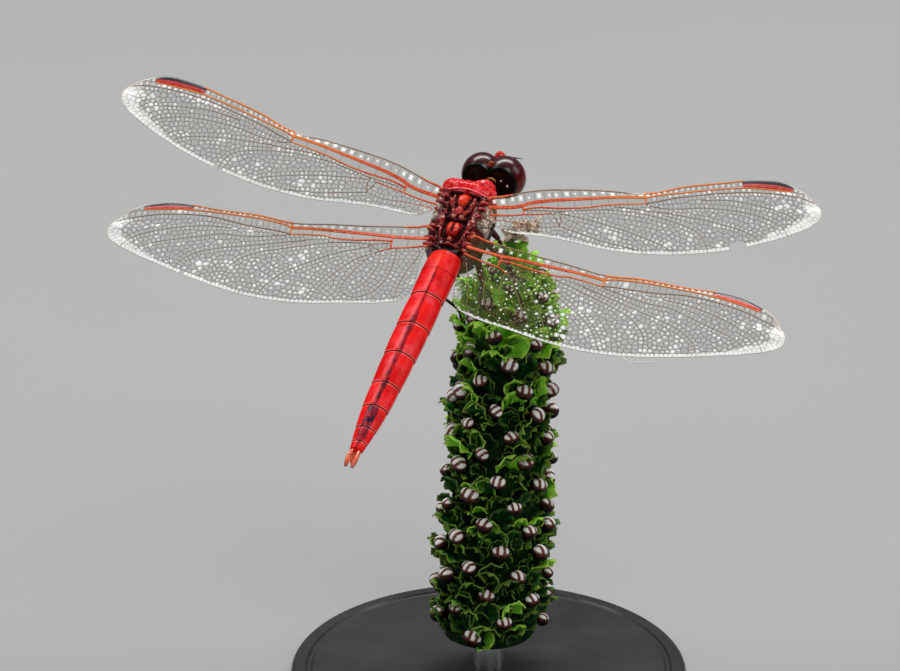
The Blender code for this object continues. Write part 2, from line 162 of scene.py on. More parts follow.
def keep_on(obj, name, values, domain="POINT"):
    """Keeps a number for each corner or face of a mesh."""
    kept = obj.data.attributes.new(name, "FLOAT", domain)
    kept.data.foreach_set("value", values)


def settled(obj, place=None):
    """Writes a piece's place into its mesh, so that its object sits at the origin."""
    picked(obj)
    if place:
        obj.matrix_world = place @ obj.matrix_world
    bpy.ops.object.transform_apply(location=True, rotation=True, scale=True)
    return obj


def piece(obj, name, finish, slot, *nodes, angle=50):
    """Names a piece, gives it its finish and lets it stand for its CAD nodes."""
    picked(obj)
    obj.name = obj.data.name = name
    obj.data.materials.clear()
    obj.data.materials.append(finish.material)
    bpy.ops.object.shade_smooth_by_angle(angle=math.radians(angle))
    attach(obj, "root")
    if nodes:
        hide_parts(*nodes)
    size = [round(side / MM, 1) for side in obj.dimensions]
    print(f"{name}: {len(obj.data.polygons)} faces, {size} mm")


print("closing tools ready")

# %% [markdown]
# ## Shader sums as Python sums
# A material is a graph of small nodes. Written node by node it is long and hard to read, so this
# class wraps a socket and lets Python's own signs add the Math nodes.

# %% A socket that can be reckoned with
class Value:
    """One socket of a finish, which can be added to, multiplied and compared."""

    def __init__(self, finish, socket):
        self.finish = finish
        self.socket = socket

    def math(self, operation, *others):
        """One Math node on this socket and others."""
        return self.finish.math(operation, self, *others)

    def __rsub__(self, other):
        return self.finish.math("SUBTRACT", other, self)

    def rise(self, low, high):
        """0 below low and 1 above high, with a soft climb between; high may be the smaller one."""
        settings = {"interpolation_type": "SMOOTHSTEP"}
        inputs = {"Value": self, "From Min": low, "From Max": high}
        return self.finish.node("ShaderNodeMapRange", settings, inputs)

    def band(self, middle, half, soft):
        """1 within half of middle, fading to 0 over soft."""
        return abs(self - middle).rise(half + soft, half)


SIGNS = {
    "add": "ADD", "radd": "ADD", "mul": "MULTIPLY", "rmul": "MULTIPLY", "sub": "SUBTRACT",
    "truediv": "DIVIDE", "pow": "POWER", "abs": "ABSOLUTE",
}
for sign, operation in SIGNS.items():
    setattr(Value, f"__{sign}__", functools.partialmethod(Value.math, operation))
print("signs that add a Math node:", ", ".join(SIGNS))

# %% [markdown]
# ## A finish
# This class keeps a material and its nodes, and holds the few patterns that many finishes share. A
# colour is built up as a painter does it: a ground, then coat over coat, each covering its share.

# %% A finish and its patterns
class Finish:
    """A material, and the nodes that its patterns are made from."""

    def __init__(self, name, **constants):
        self.material = bpy.data.materials.new(name)
        self.material.use_nodes = True
        self.tree = self.material.node_tree
        self.shader = self.tree.nodes["Principled BSDF"]
        self.set(**constants)

    def feed(self, socket, value):
        """Links a value to a socket, or sets the socket to a plain number or colour."""
        if isinstance(value, Value):
            self.tree.links.new(value.socket, socket)
        else:
            socket.default_value = value

    def set(self, **values):
        """Sets or links the shader's own sockets: base_color feeds Base Color."""
        for key, value in values.items():
            name = key.replace("_", " ").title().replace("Ior", "IOR")
            self.feed(self.shader.inputs[name], value)

    def node(self, kind, settings=None, inputs=None, output=0):
        """Adds a node, feeds it and hands back one of its outputs."""
        made = self.tree.nodes.new(kind)
        for key, value in (settings or {}).items():
            setattr(made, key, value)
        for key, value in (inputs or {}).items():
            self.feed(made.inputs[key], value)
        return Value(self, made.outputs[output])

    def math(self, operation, *values):
        """One Math node on sockets or numbers."""
        return self.node("ShaderNodeMath", {"operation": operation}, dict(enumerate(values)))

    def mix(self, under, over, share):
        """Two colours mixed by a share from 0 to 1."""
        under, over = (c if isinstance(c, Value) else (*c, 1) for c in (under, over))
        inputs = {0: share, 6: under, 7: over}
        return self.node("ShaderNodeMix", {"data_type": "RGBA"}, inputs, output=2)

    def painted(self, ground, *coats):
        """A ground with coats laid over it one by one, each a colour and its share."""
        for colour, share in coats:
            ground = self.mix(ground, colour, share)
        return ground

    def here(self):
        """The point being shaded, in the object's own coordinates."""
        return self.node("ShaderNodeTexCoord", output=3)

    def within(self, place):
        """The point's x, y and z in another frame, in millimetres."""
        found = []
        for row in place.inverted()[:3]:
            inputs = {0: self.here(), 1: row[:3]}
            along = self.node("ShaderNodeVectorMath", {"operation": "DOT_PRODUCT"}, inputs, output=1)
            found.append(along / MM + row[3] / MM)
        return found

    def noise(self, size, detail=4, at=None):
        """Soft cloudy variation from 0 to 1, with features about size millimetres across."""
        inputs = {"Vector": at or self.here(), "Scale": 1 / (size * MM), "Detail": detail}
        return self.node("ShaderNodeTexNoise", None, inputs | {"Roughness": 0.55})

    def cells(self, size, feature="F1"):
        """Cells about size millimetres across."""
        inputs = {"Vector": self.here(), "Scale": 1 / (size * MM)}
        return self.node("ShaderNodeTexVoronoi", {"feature": feature}, inputs)

    def attribute(self, name):
        """A number kept on the mesh."""
        return self.node("ShaderNodeAttribute", {"attribute_name": name}, output=2)

    def bump(self, height, depth, strength=1.0):
        """Relief of a depth in millimetres."""
        inputs = {"Height": height, "Distance": depth * MM, "Strength": strength}
        self.set(normal=self.node("ShaderNodeBump", None, inputs))


print("finishes ready")

# %% [markdown]
# ## Skins drawn out ring by ring
# Abdomens, legs and feelers are all tubes that swell and narrow. By hand one starts with a circle,
# extrudes its face again and again, and shapes each new ring, and the helper does the same. A lathe
# would keep every section round, and an insect's sections are roofs, keels and flat bellies.

# %% Drawing out a skin
def drawn_out(name, rings):
    """A closed skin over rings that all have the same number of points."""
    nothing_selected()
    bpy.ops.mesh.primitive_circle_add(vertices=len(rings[0]), radius=MM, fill_type="NGON")
    obj = bpy.context.active_object
    obj.name = name
    opened(obj)
    line = list(range(len(rings[0])))
    for number, ring in enumerate(rings):
        if number:
            bpy.ops.mesh.extrude_region_move()
        mesh = bmesh.from_edit_mesh(obj.data)
        mesh.verts.ensure_lookup_table()
        if number:
            line = [new_partner(mesh.verts[i]) for i in line]
        for index, point in zip(line, ring):
            mesh.verts[index].co = point
    bmesh.update_edit_mesh(obj.data)
    return facing_out(closed(obj))


def new_partner(vert):
    """The corner that an extrusion has just drawn from this one."""
    for edge in vert.link_edges:
        other = edge.other_vert(vert)
        if other.select:
            return other.index
    raise ValueError("an extruded corner has no partner")


print("skins can be drawn out")

# %% [markdown]
# Rings are roofs, fuller or sharper than an ellipse, or round ones set square to a path. A few points
# are enough for a path, because a smooth curve fills in the rest. Swellings start as eggs.

# %% Rings, limbs and eggs
def all_round(sides):
    """Angles in even steps round a circle."""
    return [2 * math.pi * i / sides for i in range(sides)]


def roof_ring(y, half, top, bottom, sides, top_power, bottom_power):
    """A section across Y in millimetres, a roof above and rounder below, as the powers say."""
    ring = []
    for angle in all_round(sides):
        c, s = math.cos(angle), math.sin(angle)
        power = 2 / (top_power if s >= 0 else bottom_power)
        across = math.copysign(abs(c) ** power, c)
        up = math.copysign(abs(s) ** power, s) * (top if s >= 0 else -bottom)
        ring.append(Vector((across * half, y, up)) * MM)
    return ring


def limb_rings(path, thickness, steps, sides):
    """Round sections along a smooth path, with their radii in millimetres."""
    points, radii = spaced(path, steps), spaced(thickness, steps)
    rings = []
    side = None
    for i, point in enumerate(points):
        ahead = (points[min(i + 1, len(points) - 1)] - points[max(i - 1, 0)]).normalized()
        if side is None:
            side = ahead.orthogonal().normalized()
        side = (side - ahead * side.dot(ahead)).normalized()
        up = ahead.cross(side)
        ways = [side * math.cos(angle) + up * math.sin(angle) for angle in all_round(sides)]
        rings.append([point + way * radii[i] * MM for way in ways])
    return rings


def limb(name, path, thickness, steps, sides):
    """A closed round limb along a smooth path."""
    return drawn_out(name, limb_rings(path, thickness, steps, sides))


def spaced(values, count):
    """A smooth curve through values, sampled evenly; works on numbers and on vectors."""
    result = []
    last = len(values) - 1
    for k in range(count):
        t = k / (count - 1) * last
        i = min(int(t), last - 1)
        t -= i
        a, b = values[max(i - 1, 0)], values[i]
        c, d = values[i + 1], values[min(i + 2, last)]
        bend = (b * 2) + (c - a) * t + (a * 2 - b * 5 + c * 4 - d) * t**2
        result.append((bend + (b * 3 - a - c * 3 + d) * t**3) * 0.5)
    return result


def ball(centre, radii, segments=24, rings=16):
    """An egg at a place in millimetres, as a start for a swelling."""
    nothing_selected()
    bpy.ops.mesh.primitive_uv_sphere_add(segments=segments, ring_count=rings, radius=1)
    obj = bpy.context.active_object
    obj.data.transform(shifted(*centre) @ Matrix.Diagonal((*(r * MM for r in radii), 1)))
    return obj


def twins(sign, points):
    """A path in millimetres as it lies on the left, or mirrored with a sign of -1."""
    return [Vector((sign * x, y, z)) * MM for x, y, z in points]


print("a smooth climb:", [round(value, 2) for value in spaced([0, 1, 3], 5)])


# %% [markdown]
# ## The abdomen
# Ten ringed segments, roofed with a keel along the back, each overlapping the next with a hard rim.
# One skin is drawn from the first to the last: inside each segment it swells a little, and at each
# joint it tucks in under the rim. The first joints hardly show, so their steps are flattened.

# %% The abdomen's rings
SEGMENT_LENGTHS = [1.0, 2.5, 4.1, 5.0, 4.8, 4.9, 3.7, 3.3, 2.1, 1.2]
SEGMENT_WIDTHS = [3.5, 4.2, 4.45, 4.25, 4.3, 4.05, 3.65, 3.3, 2.55, 1.95, 1.6]
JOINTS = [sum(SEGMENT_LENGTHS[:i]) for i in range(11)]
# Share of a segment's length, and how far the skin swells over or tucks under its width.
SEGMENT_SHAPE = [
    (0.0, 0.93), (0.03, 0.955), (0.08, 0.985), (0.3, 1.012), (0.6, 1.02), (0.88, 1.01),
    (0.96, 1.02), (0.99, 0.99),
]


def abdomen_ring(y, width):
    """One section of the abdomen: a roof with a keel, and a belly that is deeper in front."""
    swell = 0.16 * max(0.0, 1 - y / 9.0)
    ring = roof_ring(y, width / 2, 0.34 * width, -(0.36 + swell) * width, 48, 1.6, 2.2)
    ring[12].z += 0.07 * MM
    return ring


rings = []
for number, length in enumerate(SEGMENT_LENGTHS):
    front, rear = SEGMENT_WIDTHS[number], SEGMENT_WIDTHS[number + 1]
    for share, swell in SEGMENT_SHAPE:
        if number == 9 and share > 0.9:
            continue
        if number < 2 or (number == 2 and share < 0.5):
            swell = 1 + (swell - 1) * 0.3
        width = front + (rear - front) * share
        rings.append(abdomen_ring(JOINTS[number] + length * share, width * swell))
rings.append(abdomen_ring(JOINTS[10] - 0.12, 1.35))
rings.append(abdomen_ring(JOINTS[10] - 0.05, 0.8))
abdomen = settled(drawn_out("abdomen", rings), ABDOMEN)
print("abdomen rings:", len(rings))

# %% [markdown]
# The red is not one red: patches of deeper red, a painted pink sheen beside the keel, and thin pale
# edges. The pattern is worked out in the abdomen's own frame. The dark stripe is a distance from the
# middle line that widens towards the tail, and noise breaks its edge up so that it doesn't look ruled.
# Each joint is a thin dark line with a paler line behind it, a painted highlight on its rim. The front
# of the first segment is painted near black, as shade where it meets the thorax.

# %% The abdomen's finish
skin = Finish("abdomen_red", coat_weight=0.12, coat_roughness=0.2, specular_ior_level=0.08)
x, y, z = skin.within(ABDOMEN)
joint = abs(y - JOINTS[3])
for place in JOINTS[4:10]:
    joint = joint.math("MINIMUM", abs(y - place))
early = abs(y - JOINTS[1]).math("MINIMUM", abs(y - JOINTS[2]))
wander = skin.noise(0.7) * 0.34 - 0.17
broken = skin.noise(0.9, detail=5)
along = (y - JOINTS[4]).math("PINGPONG", 2.4)
stripe_half = 0.09 + y.rise(6, 12) * 0.17 + along.rise(1.9, 0.6) * y.rise(9, 12) * 0.08
stripe_half = stripe_half + y.rise(25.4, 26.2) * 0.3 - y.rise(31.0, 31.6) * 0.5
stripe = (abs(x + wander * 0.6) - stripe_half).rise(0.12, -0.05) * z.rise(0.2, 0.8)
stripe = stripe * y.rise(2.6, 4.2) * (0.45 + broken.rise(0.35, 0.6) * 0.55)
patchy = skin.noise(2.4, detail=6) * 0.75 + skin.noise(0.35, detail=3) * 0.25
# Painted sheen: pink on top beside the keel, where light catches the roof.
painted_sheen = abs(x).band(0.85, 0.35, 0.5) * skin.noise(2.2, detail=3).rise(0.45, 0.7)
painted_sheen = painted_sheen * z.rise(0.3, 0.7)
edge = z.band(-0.1, 0.14, 0.25) * abs(x).rise(1.0, 1.5)
red = skin.painted(
    skin.mix((0.66, 0.0012, 0.0015), (0.98, 0.006, 0.006), patchy.rise(0.35, 0.62)),
    ((0.9, 0.03, 0.004), y.rise(6, 1) * patchy.rise(0.4, 0.6) * 0.6),
    ((0.92, 0.1, 0.13), painted_sheen * 0.5),
    ((0.92, 0.2, 0.16), edge * 0.5),
    # Painted highlight: the pale line just behind each dark joint.
    ((0.95, 0.3, 0.24), joint.band(0.14, 0.03, 0.07) * 0.45),
    ((0.08, 0.001, 0.001), joint.rise(0.075, 0.015)),
    ((0.3, 0.001, 0.001), early.rise(0.16, 0.04) * 0.3),
)
ink = skin.mix((0.03, 0.004, 0.012), (0.006, 0.007, 0.028), y.rise(24, 26))
red = skin.painted(
    red,
    (ink, stripe * (0.78 + y.rise(18, 26) * 0.2)),
    # Painted shade: near black at the front, where the abdomen meets the thorax.
    ((0.006, 0.0008, 0.0008), y.rise(0.55, 0.25)),
    ((0.22, 0.02, 0.012), z.rise(-0.9, -1.5) * 0.8),
)
grain = skin.cells(0.12) * 0.6 + skin.noise(0.25, detail=5) * 0.7
skin.set(base_color=red, roughness=0.34 + patchy * 0.2 + stripe * 0.1)
skin.bump(grain, 0.02, 0.5)
piece(abdomen, "abdomen_skin", skin, "chitin_red", *[f"abdomen_{n:02d}" for n in range(1, 11)])

# %% [markdown]
# ## The claspers at the tail
# Two small upper horns and a plate under them close the abdomen. Each is a short limb with a blunt
# end, drawn out of rings like the rest. They are orange, because their skin is thin.

# %% Claspers
TAIL = ABDOMEN @ shifted(0, JOINTS[10], 0)
horn_orange = Finish("clasper_orange", coat_weight=0.3, coat_roughness=0.15, specular_ior_level=0.5)
cloud = horn_orange.noise(0.5, detail=5)
fine = horn_orange.noise(0.1, detail=4)
amber = horn_orange.mix((0.6, 0.03, 0.01), (0.85, 0.17, 0.06), cloud.rise(0.3, 0.65))
x, y, z = horn_orange.within(TAIL)
amber = horn_orange.mix(amber, (0.16, 0.01, 0.006), y.rise(2.0, 2.6) * 0.6)
horn_orange.set(base_color=amber, roughness=0.32 + fine * 0.2)
horn_orange.bump(fine + cloud * 0.5, 0.02, 0.5)
for sign, side in SIDES:
    path = twins(sign, [(0.38, -0.05, 0.1), (0.5, 0.9, 0.2), (0.47, 1.8, 0.12), (0.4, 2.5, 0.02)])
    horn = settled(limb("cercus", path, [0.2, 0.28, 0.29, 0.2], 16, 12), TAIL)
    piece(horn, f"cercus_skin_{side}", horn_orange, "chitin_red", f"cercus_{side}")
path = twins(1, [(0, -0.05, -0.45), (0, 0.8, -0.5), (0, 1.4, -0.47), (0, 1.75, -0.42)])
rings = limb_rings(path, [0.42, 0.4, 0.3, 0.08], 12, 12)
for point in (point for ring in rings for point in ring):
    point.z = -0.47 * MM + (point.z + 0.47 * MM) * 0.6
plate = settled(drawn_out("plate", rings), TAIL)
piece(plate, "epiproct_skin", horn_orange, "chitin_red", "epiproct")

# %% [markdown]
# ## The thorax
# The thorax is a muscle box: a humped, hard shell with a ridged collar in front, shield-like plates
# between the wings, and slanting seams down its sides. Sculpting such a form from one primitive is
# slow, so it is built as a sculptor builds in clay: a main body, then lumps pressed on for each
# plate, rolls for the hinges that carry the wings, and one Remesh that turns them all into a single
# skin. Grooves are pressed in afterwards.

# %% Lumps for the thorax
# Place along the body, half width, top and bottom of each section, in millimetres.
THORAX_STATIONS = [
    (-6.5, 1.0, -0.8, -3.0), (-6.3, 1.9, -0.4, -3.7), (-5.6, 3.0, 0.6, -4.6),
    (-4.3, 3.7, 1.45, -5.6), (-2.6, 3.85, 1.6, -6.3), (-0.4, 3.75, 1.45, -6.6),
    (2.0, 3.55, 1.3, -6.3), (4.0, 3.2, 1.1, -5.2), (5.1, 2.6, 0.9, -3.9),
    (5.6, 1.9, 0.7, -2.9), (5.75, 1.0, 0.4, -2.0),
]
# Middle and radii of each swelling, in millimetres.
MIDDLE_SWELLINGS = [
    ((0, -4.85, 0.55), (2.2, 1.3, 1.4)), ((0, -2.1, 1.3), (1.05, 1.3, 0.8)),
    ((0.1, -0.5, 1.35), (0.6, 0.8, 0.62)), ((0, 2.4, 1.15), (1.05, 1.25, 0.95)),
    ((0, 4.0, 1.25), (0.36, 0.34, 0.36)), ((0, 4.7, 0.95), (0.85, 0.42, 0.5)),
    ((-0.4, -7.0, -2.2), (1.55, 1.2, 1.45)), ((-0.4, -6.5, -1.0), (1.3, 0.45, 0.95)),
    ((-1.7, -5.45, 0.95), (1.45, 1.1, 1.1)),
]
PAIRED_SWELLINGS = [
    ((1.55, -4.7, 0.65), (2.0, 1.35, 1.35)), ((1.5, -1.8, 1.0), (0.85, 1.25, 0.82)),
    ((0.85, -0.3, 1.25), (0.42, 0.65, 0.5)), ((0.5, 0.5, 1.6), (0.36, 0.32, 0.36)),
    ((1.75, 0.9, 0.85), (0.85, 1.35, 0.72)), ((1.55, 3.0, 0.8), (0.6, 1.15, 0.62)),
    ((0.95, -5.2, -4.3), (0.8, 0.9, 1.1)), ((1.3, -3.6, -5.5), (0.85, 0.95, 1.0)),
    ((1.45, -1.7, -5.9), (0.9, 1.1, 0.95)),
]
# Rolls of skin along a path, with its thickness at each point: the ridge behind the front dome, the
# hinges that carry the wings, and the last rim before the abdomen.
RIDGE = [(2.95, -3.25, 0.85), (2.3, -3.4, 1.5), (1.2, -3.6, 1.8), (0, -3.72, 1.88)]
REAR_RIM = [(1.35, 5.25, 0.3), (0.9, 5.42, 0.7), (0, 5.5, 0.92)]
HINGES = [
    [(1.7, -3.3, 1.3), (2.6, -3.25, 1.65), (3.45, -3.0, 1.85)],
    [(1.6, -2.55, 1.35), (2.5, -2.45, 1.65), (3.4, -2.2, 1.85)],
    [(1.9, -1.5, 1.2), (2.6, -1.45, 1.5), (3.3, -1.3, 1.7)],
    [(1.9, -0.5, 1.1), (2.5, -0.35, 1.35), (3.2, -0.3, 1.55)],
    [(2.0, 2.2, 0.9), (2.5, 2.35, 1.25), (3.0, 2.8, 1.5)],
    [(1.7, 3.1, 0.95), (2.4, 3.2, 1.35), (3.15, 3.3, 1.6)],
    [(1.6, 4.1, 0.85), (2.3, 4.3, 1.3), (3.1, 4.5, 1.55)],
    [(1.6, 5.0, 0.5), (2.2, 5.2, 1.05), (2.9, 5.6, 1.45)],
]


def roll(path, radii):
    """A rounded roll along a path in millimetres."""
    return limb("roll", twins(1, path), radii, 18, 12)


def both_ways(path):
    """A path that starts at one side and is carried on to the other."""
    return path + [(-px, py, pz) for px, py, pz in reversed(path[:-1])]


levels = spaced([np.array(s) for s in THORAX_STATIONS], 28)
rings = []
for y, half, top, bottom in levels:
    middle = 0.55 * top + 0.45 * bottom
    ring = roof_ring(y, half, top - middle, bottom - middle, 40, 3.0, 2.2)
    rings.append([point + Vector((0, 0, middle * MM)) for point in ring])
lumps = [drawn_out("thorax_core", rings)]
lumps += [ball(middle, radii) for middle, radii in MIDDLE_SWELLINGS]
for (x, y, z), radii in PAIRED_SWELLINGS:
    lumps += [ball((x * twin, y, z), radii) for twin in (1, -1)]
for path in HINGES:
    for twin in (1, -1):
        lumps.append(roll([(x * twin, y, z) for x, y, z in path], [0.3, 0.34, 0.2]))
lumps.append(roll(both_ways(RIDGE), [0.2, 0.32, 0.34, 0.34, 0.34, 0.32, 0.2]))
lumps.append(roll(both_ways(REAR_RIM), [0.14, 0.17, 0.17, 0.17, 0.14]))
thorax = joined(lumps, "thorax_lumps")
modified(thorax, "REMESH", mode="VOXEL", voxel_size=0.1 * MM)
modified(thorax, "SMOOTH", factor=0.5, iterations=5)
print("thorax after remesh:", len(thorax.data.polygons), "faces")

# %% [markdown]
# Seams and grooves are lines in the body's own frame. Each corner of the mesh near such a line moves
# inwards, deepest on the line. The corners are handled as one array, because moving them one by one
# would take minutes. How deep each then lies is kept as "hollow", from which the finishes paint shade
# into the grooves.

# %% Pressing and wrinkling
def corners_of(obj):
    """A mesh's corners in millimetres and their normals, as two arrays."""
    count = len(obj.data.vertices)
    places, normals = np.empty(count * 3), np.empty(count * 3)
    obj.data.vertices.foreach_get("co", places)
    obj.data.vertex_normals.foreach_get("vector", normals)
    return places.reshape(-1, 3) / MM, normals.reshape(-1, 3)


def move_corners(obj, places):
    """Puts a mesh's corners at places in millimetres."""
    obj.data.vertices.foreach_set("co", (places * MM).ravel())
    obj.data.update()


def press(obj, line, axes, depth, width, allowed):
    """Presses a groove along a bent line, seen along the axis that is left out."""
    places, normals = corners_of(obj)
    flat = places[:, axes]
    away = np.full(len(flat), np.inf)
    for a, b in zip(np.array(line[:-1], float), np.array(line[1:], float)):
        share = np.clip((flat - a) @ (b - a) / ((b - a) @ (b - a)), 0, 1)
        away = np.minimum(away, np.linalg.norm(flat - a - share[:, None] * (b - a), axis=1))
    push = depth * np.exp(-((away / width) ** 2)) * allowed(places, normals)
    move_corners(obj, places - normals * push[:, None])


def wrinkle(obj, size, depth):
    """Small uneven swellings all over a mesh."""
    places, normals = corners_of(obj)
    push = np.array([noise.noise(Vector(p) / size) for p in places])
    move_corners(obj, places + normals * push[:, None] * depth)


def note_hollows(obj, reach):
    """Keeps on each corner how far the skin around it lies over it: 1 in a groove, -1 on a ridge."""
    places, normals = corners_of(obj)
    ends = np.empty(len(obj.data.edges) * 2, int)
    obj.data.edges.foreach_get("vertices", ends)
    first, second = ends.reshape(-1, 2).T
    links = np.bincount(ends, minlength=len(places))[:, None]

    def around(values):
        """The mean of a value over the corners next to each corner."""
        total = np.zeros_like(values)
        np.add.at(total, first, values[second])
        np.add.at(total, second, values[first])
        return total / links

    soft = places
    for _ in range(7):
        soft = around(soft)
    dip = ((soft - places) * normals).sum(1, keepdims=True) / reach
    keep_on(obj, "hollow", np.clip(around(dip), -1, 1).ravel())


print("thorax corners to press:", len(thorax.data.vertices))

# %% [markdown]
# Shallow seams slant down the sides, deeper grooves part the plates of the back, and a fine one runs
# down the middle of the collar. Fine and broad wrinkles then take away the smoothness of clay.

# %% Seams and grooves
def at_sides(places, normals):
    """Where side seams may be pressed."""
    return (np.abs(places[:, 0]) > 1.2) & (np.abs(normals[:, 0]) > 0.4)


def on_back(places, normals):
    """How strongly grooves of the back may be pressed: fully where the skin faces up."""
    return np.clip(normals[:, 2] * 2, 0, 1) * (places[:, 2] > 0)


# Seams of the sides, along Y and Z, and grooves of the back, along X and Y, in millimetres.
SIDE_SEAMS = [
    [(-3.4, 1.6), (-5.3, -4.6)], [(-0.7, 1.2), (-3.9, -5.6)], [(2.5, 1.1), (-1.2, -5.9)],
    [(0.9, 1.0), (-1.6, -1.9)], [(3.9, 0.6), (1.6, -4.8)],
]
BACK_GROOVES = [
    ([(2.9, -3.1), (1.5, -3.4), (0, -3.55)], 0.3, 0.22),
    ([(1.05, -3.2), (0.85, -2.0), (0.6, -1.1)], 0.22, 0.16),
    ([(1.7, -3.0), (1.9, -2.0), (1.5, -0.9), (1.25, 0.0)], 0.34, 0.26),
    ([(1.5, 0.2), (1.0, 0.95), (0, 1.1)], 0.26, 0.18),
    ([(1.1, 0.9), (1.25, 2.2), (0.95, 3.5), (0.5, 4.2)], 0.34, 0.24),
    ([(0, 3.55), (0.7, 3.5)], 0.22, 0.14),
    ([(2.2, 1.6), (1.9, 2.9), (1.4, 4.4)], 0.26, 0.2),
    ([(0, 5.05), (0.8, 5.0), (1.6, 4.7)], 0.26, 0.16),
    ([(0, 1.5), (0, 3.2)], 0.1, 0.12),
]
for line in SIDE_SEAMS:
    press(thorax, line, [1, 2], 0.16, 0.13, at_sides)
for line, depth, width in BACK_GROOVES:
    for twin in (1, -1):
        press(thorax, [(x * twin, y) for x, y in line], [0, 1], depth, width, on_back)
press(thorax, [(0, -6.4), (0, -4.2)], [0, 1], 0.07, 0.12, on_back)
wrinkle(thorax, 0.45, 0.07)
wrinkle(thorax, 1.5, 0.12)
note_hollows(thorax, 0.07)
settled(thorax, BODY)
print("grooves:", len(SIDE_SEAMS) + len(BACK_GROOVES))

# %% [markdown]
# The collar is bright red with a pink painted highlight along its rear edge, the plates between the
# wings glow orange-red out of grooves darkened almost black as painted shade, and the sides are nearly
# black with a cream patch under each fore wing. Those zones are soft boxes and ovals in the body's
# frame. On top of them lie fine pits and a clear coat, which gives the wet-looking glints.

# %% The thorax's ground and collar
shell = Finish("thorax_red", coat_weight=0.8, coat_roughness=0.07, specular_ior_level=0.1)
x, y, z = shell.within(BODY)
hollow = shell.attribute("hollow")
cloud = shell.noise(1.1, detail=6)
fine = shell.noise(0.22, detail=4)
top = z.rise(0.6, 1.3)
side = abs(x).rise(1.9, 2.6) * (1 - top * 0.7)
streaks = shell.noise(0.5, detail=5).rise(0.4, 0.58)
pale_side = side * z.rise(-1.9, -0.9) * z.rise(1.7, 0.9) * y.rise(-3.2, -2.4) * y.rise(1.2, 0.2)
collar = y.rise(-3.36, -3.62) * z.rise(-3.4, -1.4)
blush = shell.noise(0.9, detail=4).rise(0.4, 0.65)
rose = shell.mix((0.66, 0.001, 0.002), (0.88, 0.03, 0.04), blush * 0.9)
# Painted highlight: pink along the rear edge of the collar.
rose = shell.mix(rose, (0.92, 0.12, 0.15), y.rise(-5.0, -4.2) * blush * 0.6)
dusk = shell.mix((0.06, 0.0008, 0.0008), (0.24, 0.003, 0.0015), (cloud + fine * 0.25).rise(0.45, 0.8))
red = shell.painted(
    dusk,
    ((0.055, 0.008, 0.005), side * 0.8),
    ((1.0, 0.86, 0.66), pale_side * (0.2 + streaks * 0.8)),
    (rose, collar),
)
print("ground and collar painted")

# %% [markdown]
# Between the wings each plate has a colour of its own: two red-orange shields in the middle with
# bright streaks. Two pale knobs and a pale dot behind them are painted highlights, and so are the
# lighter ridges and the pinkish specks. Everything that lies deep is painted almost black as shade,
# and so is the gap before the abdomen and the low flanks under the wing roots; the flanks and the
# belly are dark as well.

# %% The plates of the back
def spot(x0, y0, rx, ry, low=1.5, high=0.4):
    """A soft oval in the body's frame, seen from above."""
    reach = ((x - x0) / rx) ** 2 + ((y - y0) / ry) ** 2
    return reach.rise(low, high) * z.rise(0.7, 1.2)


def spots(x0, y0, rx, ry):
    """The same oval on both sides of the middle line."""
    return spot(x0, y0, rx, ry).math("MAXIMUM", spot(-x0, y0, rx, ry))


# ridge is 1 on raised skin, where the finish paints highlight; the specks are painted glints.
ridge = (hollow * -1).rise(0.25, 0.8)
painted_glint_specks = shell.noise(0.32, detail=2).rise(0.6, 0.68) * abs(x).rise(1.3, 1.8) * top
nape = y.rise(-6.3, -6.8) * z.rise(-1.4, -0.5)
red = shell.painted(
    red,
    ((0.72, 0.03, 0.004), spot(0, -2.3, 0.85, 1.05, 1.7, 0.1)),
    ((0.5, 0.015, 0.006), spot(0.1, -0.7, 0.5, 0.8) * 0.7),
    ((0.5, 0.004, 0.002), spot(0, 2.4, 0.95, 1.25, 1.7, 0.2)),
    ((0.85, 0.075, 0.006), spots(0.42, 2.2, 0.16, 0.8) * 0.85),
    # Painted highlights: the pale knobs, the pale dot behind them, the lighter red and pink on ridges,
    # and the pink glint specks.
    ((0.84, 0.5, 0.38), spots(0.5, 0.5, 0.3, 0.24) * 0.8),
    ((0.8, 0.3, 0.2), spot(0, 4.0, 0.3, 0.26) * 0.8),
    ((0.4, 0.015, 0.008), ridge.rise(0.4, 1.0) * top * (1 - collar) * 0.6),
    ((0.92, 0.26, 0.3), ridge * collar * 0.4),
    ((0.86, 0.34, 0.38), painted_glint_specks * (1 - collar) * 0.8),
    ((0.6, 0.26, 0.02), nape * 0.8),
    # Painted shade: near black in the grooves.
    ((0.018, 0.0006, 0.0006), hollow.rise(0.15, 0.75) * (1 - collar * 0.55)),
    # Painted shade: near black in the gap before the abdomen and low on the flanks behind the collar.
    ((0.003, 0.0006, 0.0006), abs(x).rise(2.0, 1.2) * y.rise(4.7, 5.0) * top.rise(1.0, 0.4)),
    ((0.012, 0.002, 0.002), y.rise(4.95, 5.15) * abs(x).rise(2.2, 1.6)),
    ((0.01, 0.003, 0.002), z.rise(-1.3, -2.2) * y.rise(-4.4, -3.8) * 0.9),
    ((0.03, 0.008, 0.006), z.rise(-4.0, -5.6) * 0.85),
)
shell.set(base_color=red, roughness=0.28 + fine * 0.22 + hollow.rise(0.1, 0.5) * 0.3)
shine = (1 - side * 0.85) * z.rise(-1.8, 0.2).math("MAXIMUM", collar)
shell.set(coat_weight=(0.5 - hollow.rise(0.0, 0.35) * 0.48) * shine)
shell.bump(shell.cells(0.1) * 0.4 + fine, 0.03, 0.5)
piece(thorax, "thorax_skin", shell, "chitin_red", "thorax", "mesonotum", "metanotum", "prothorax")

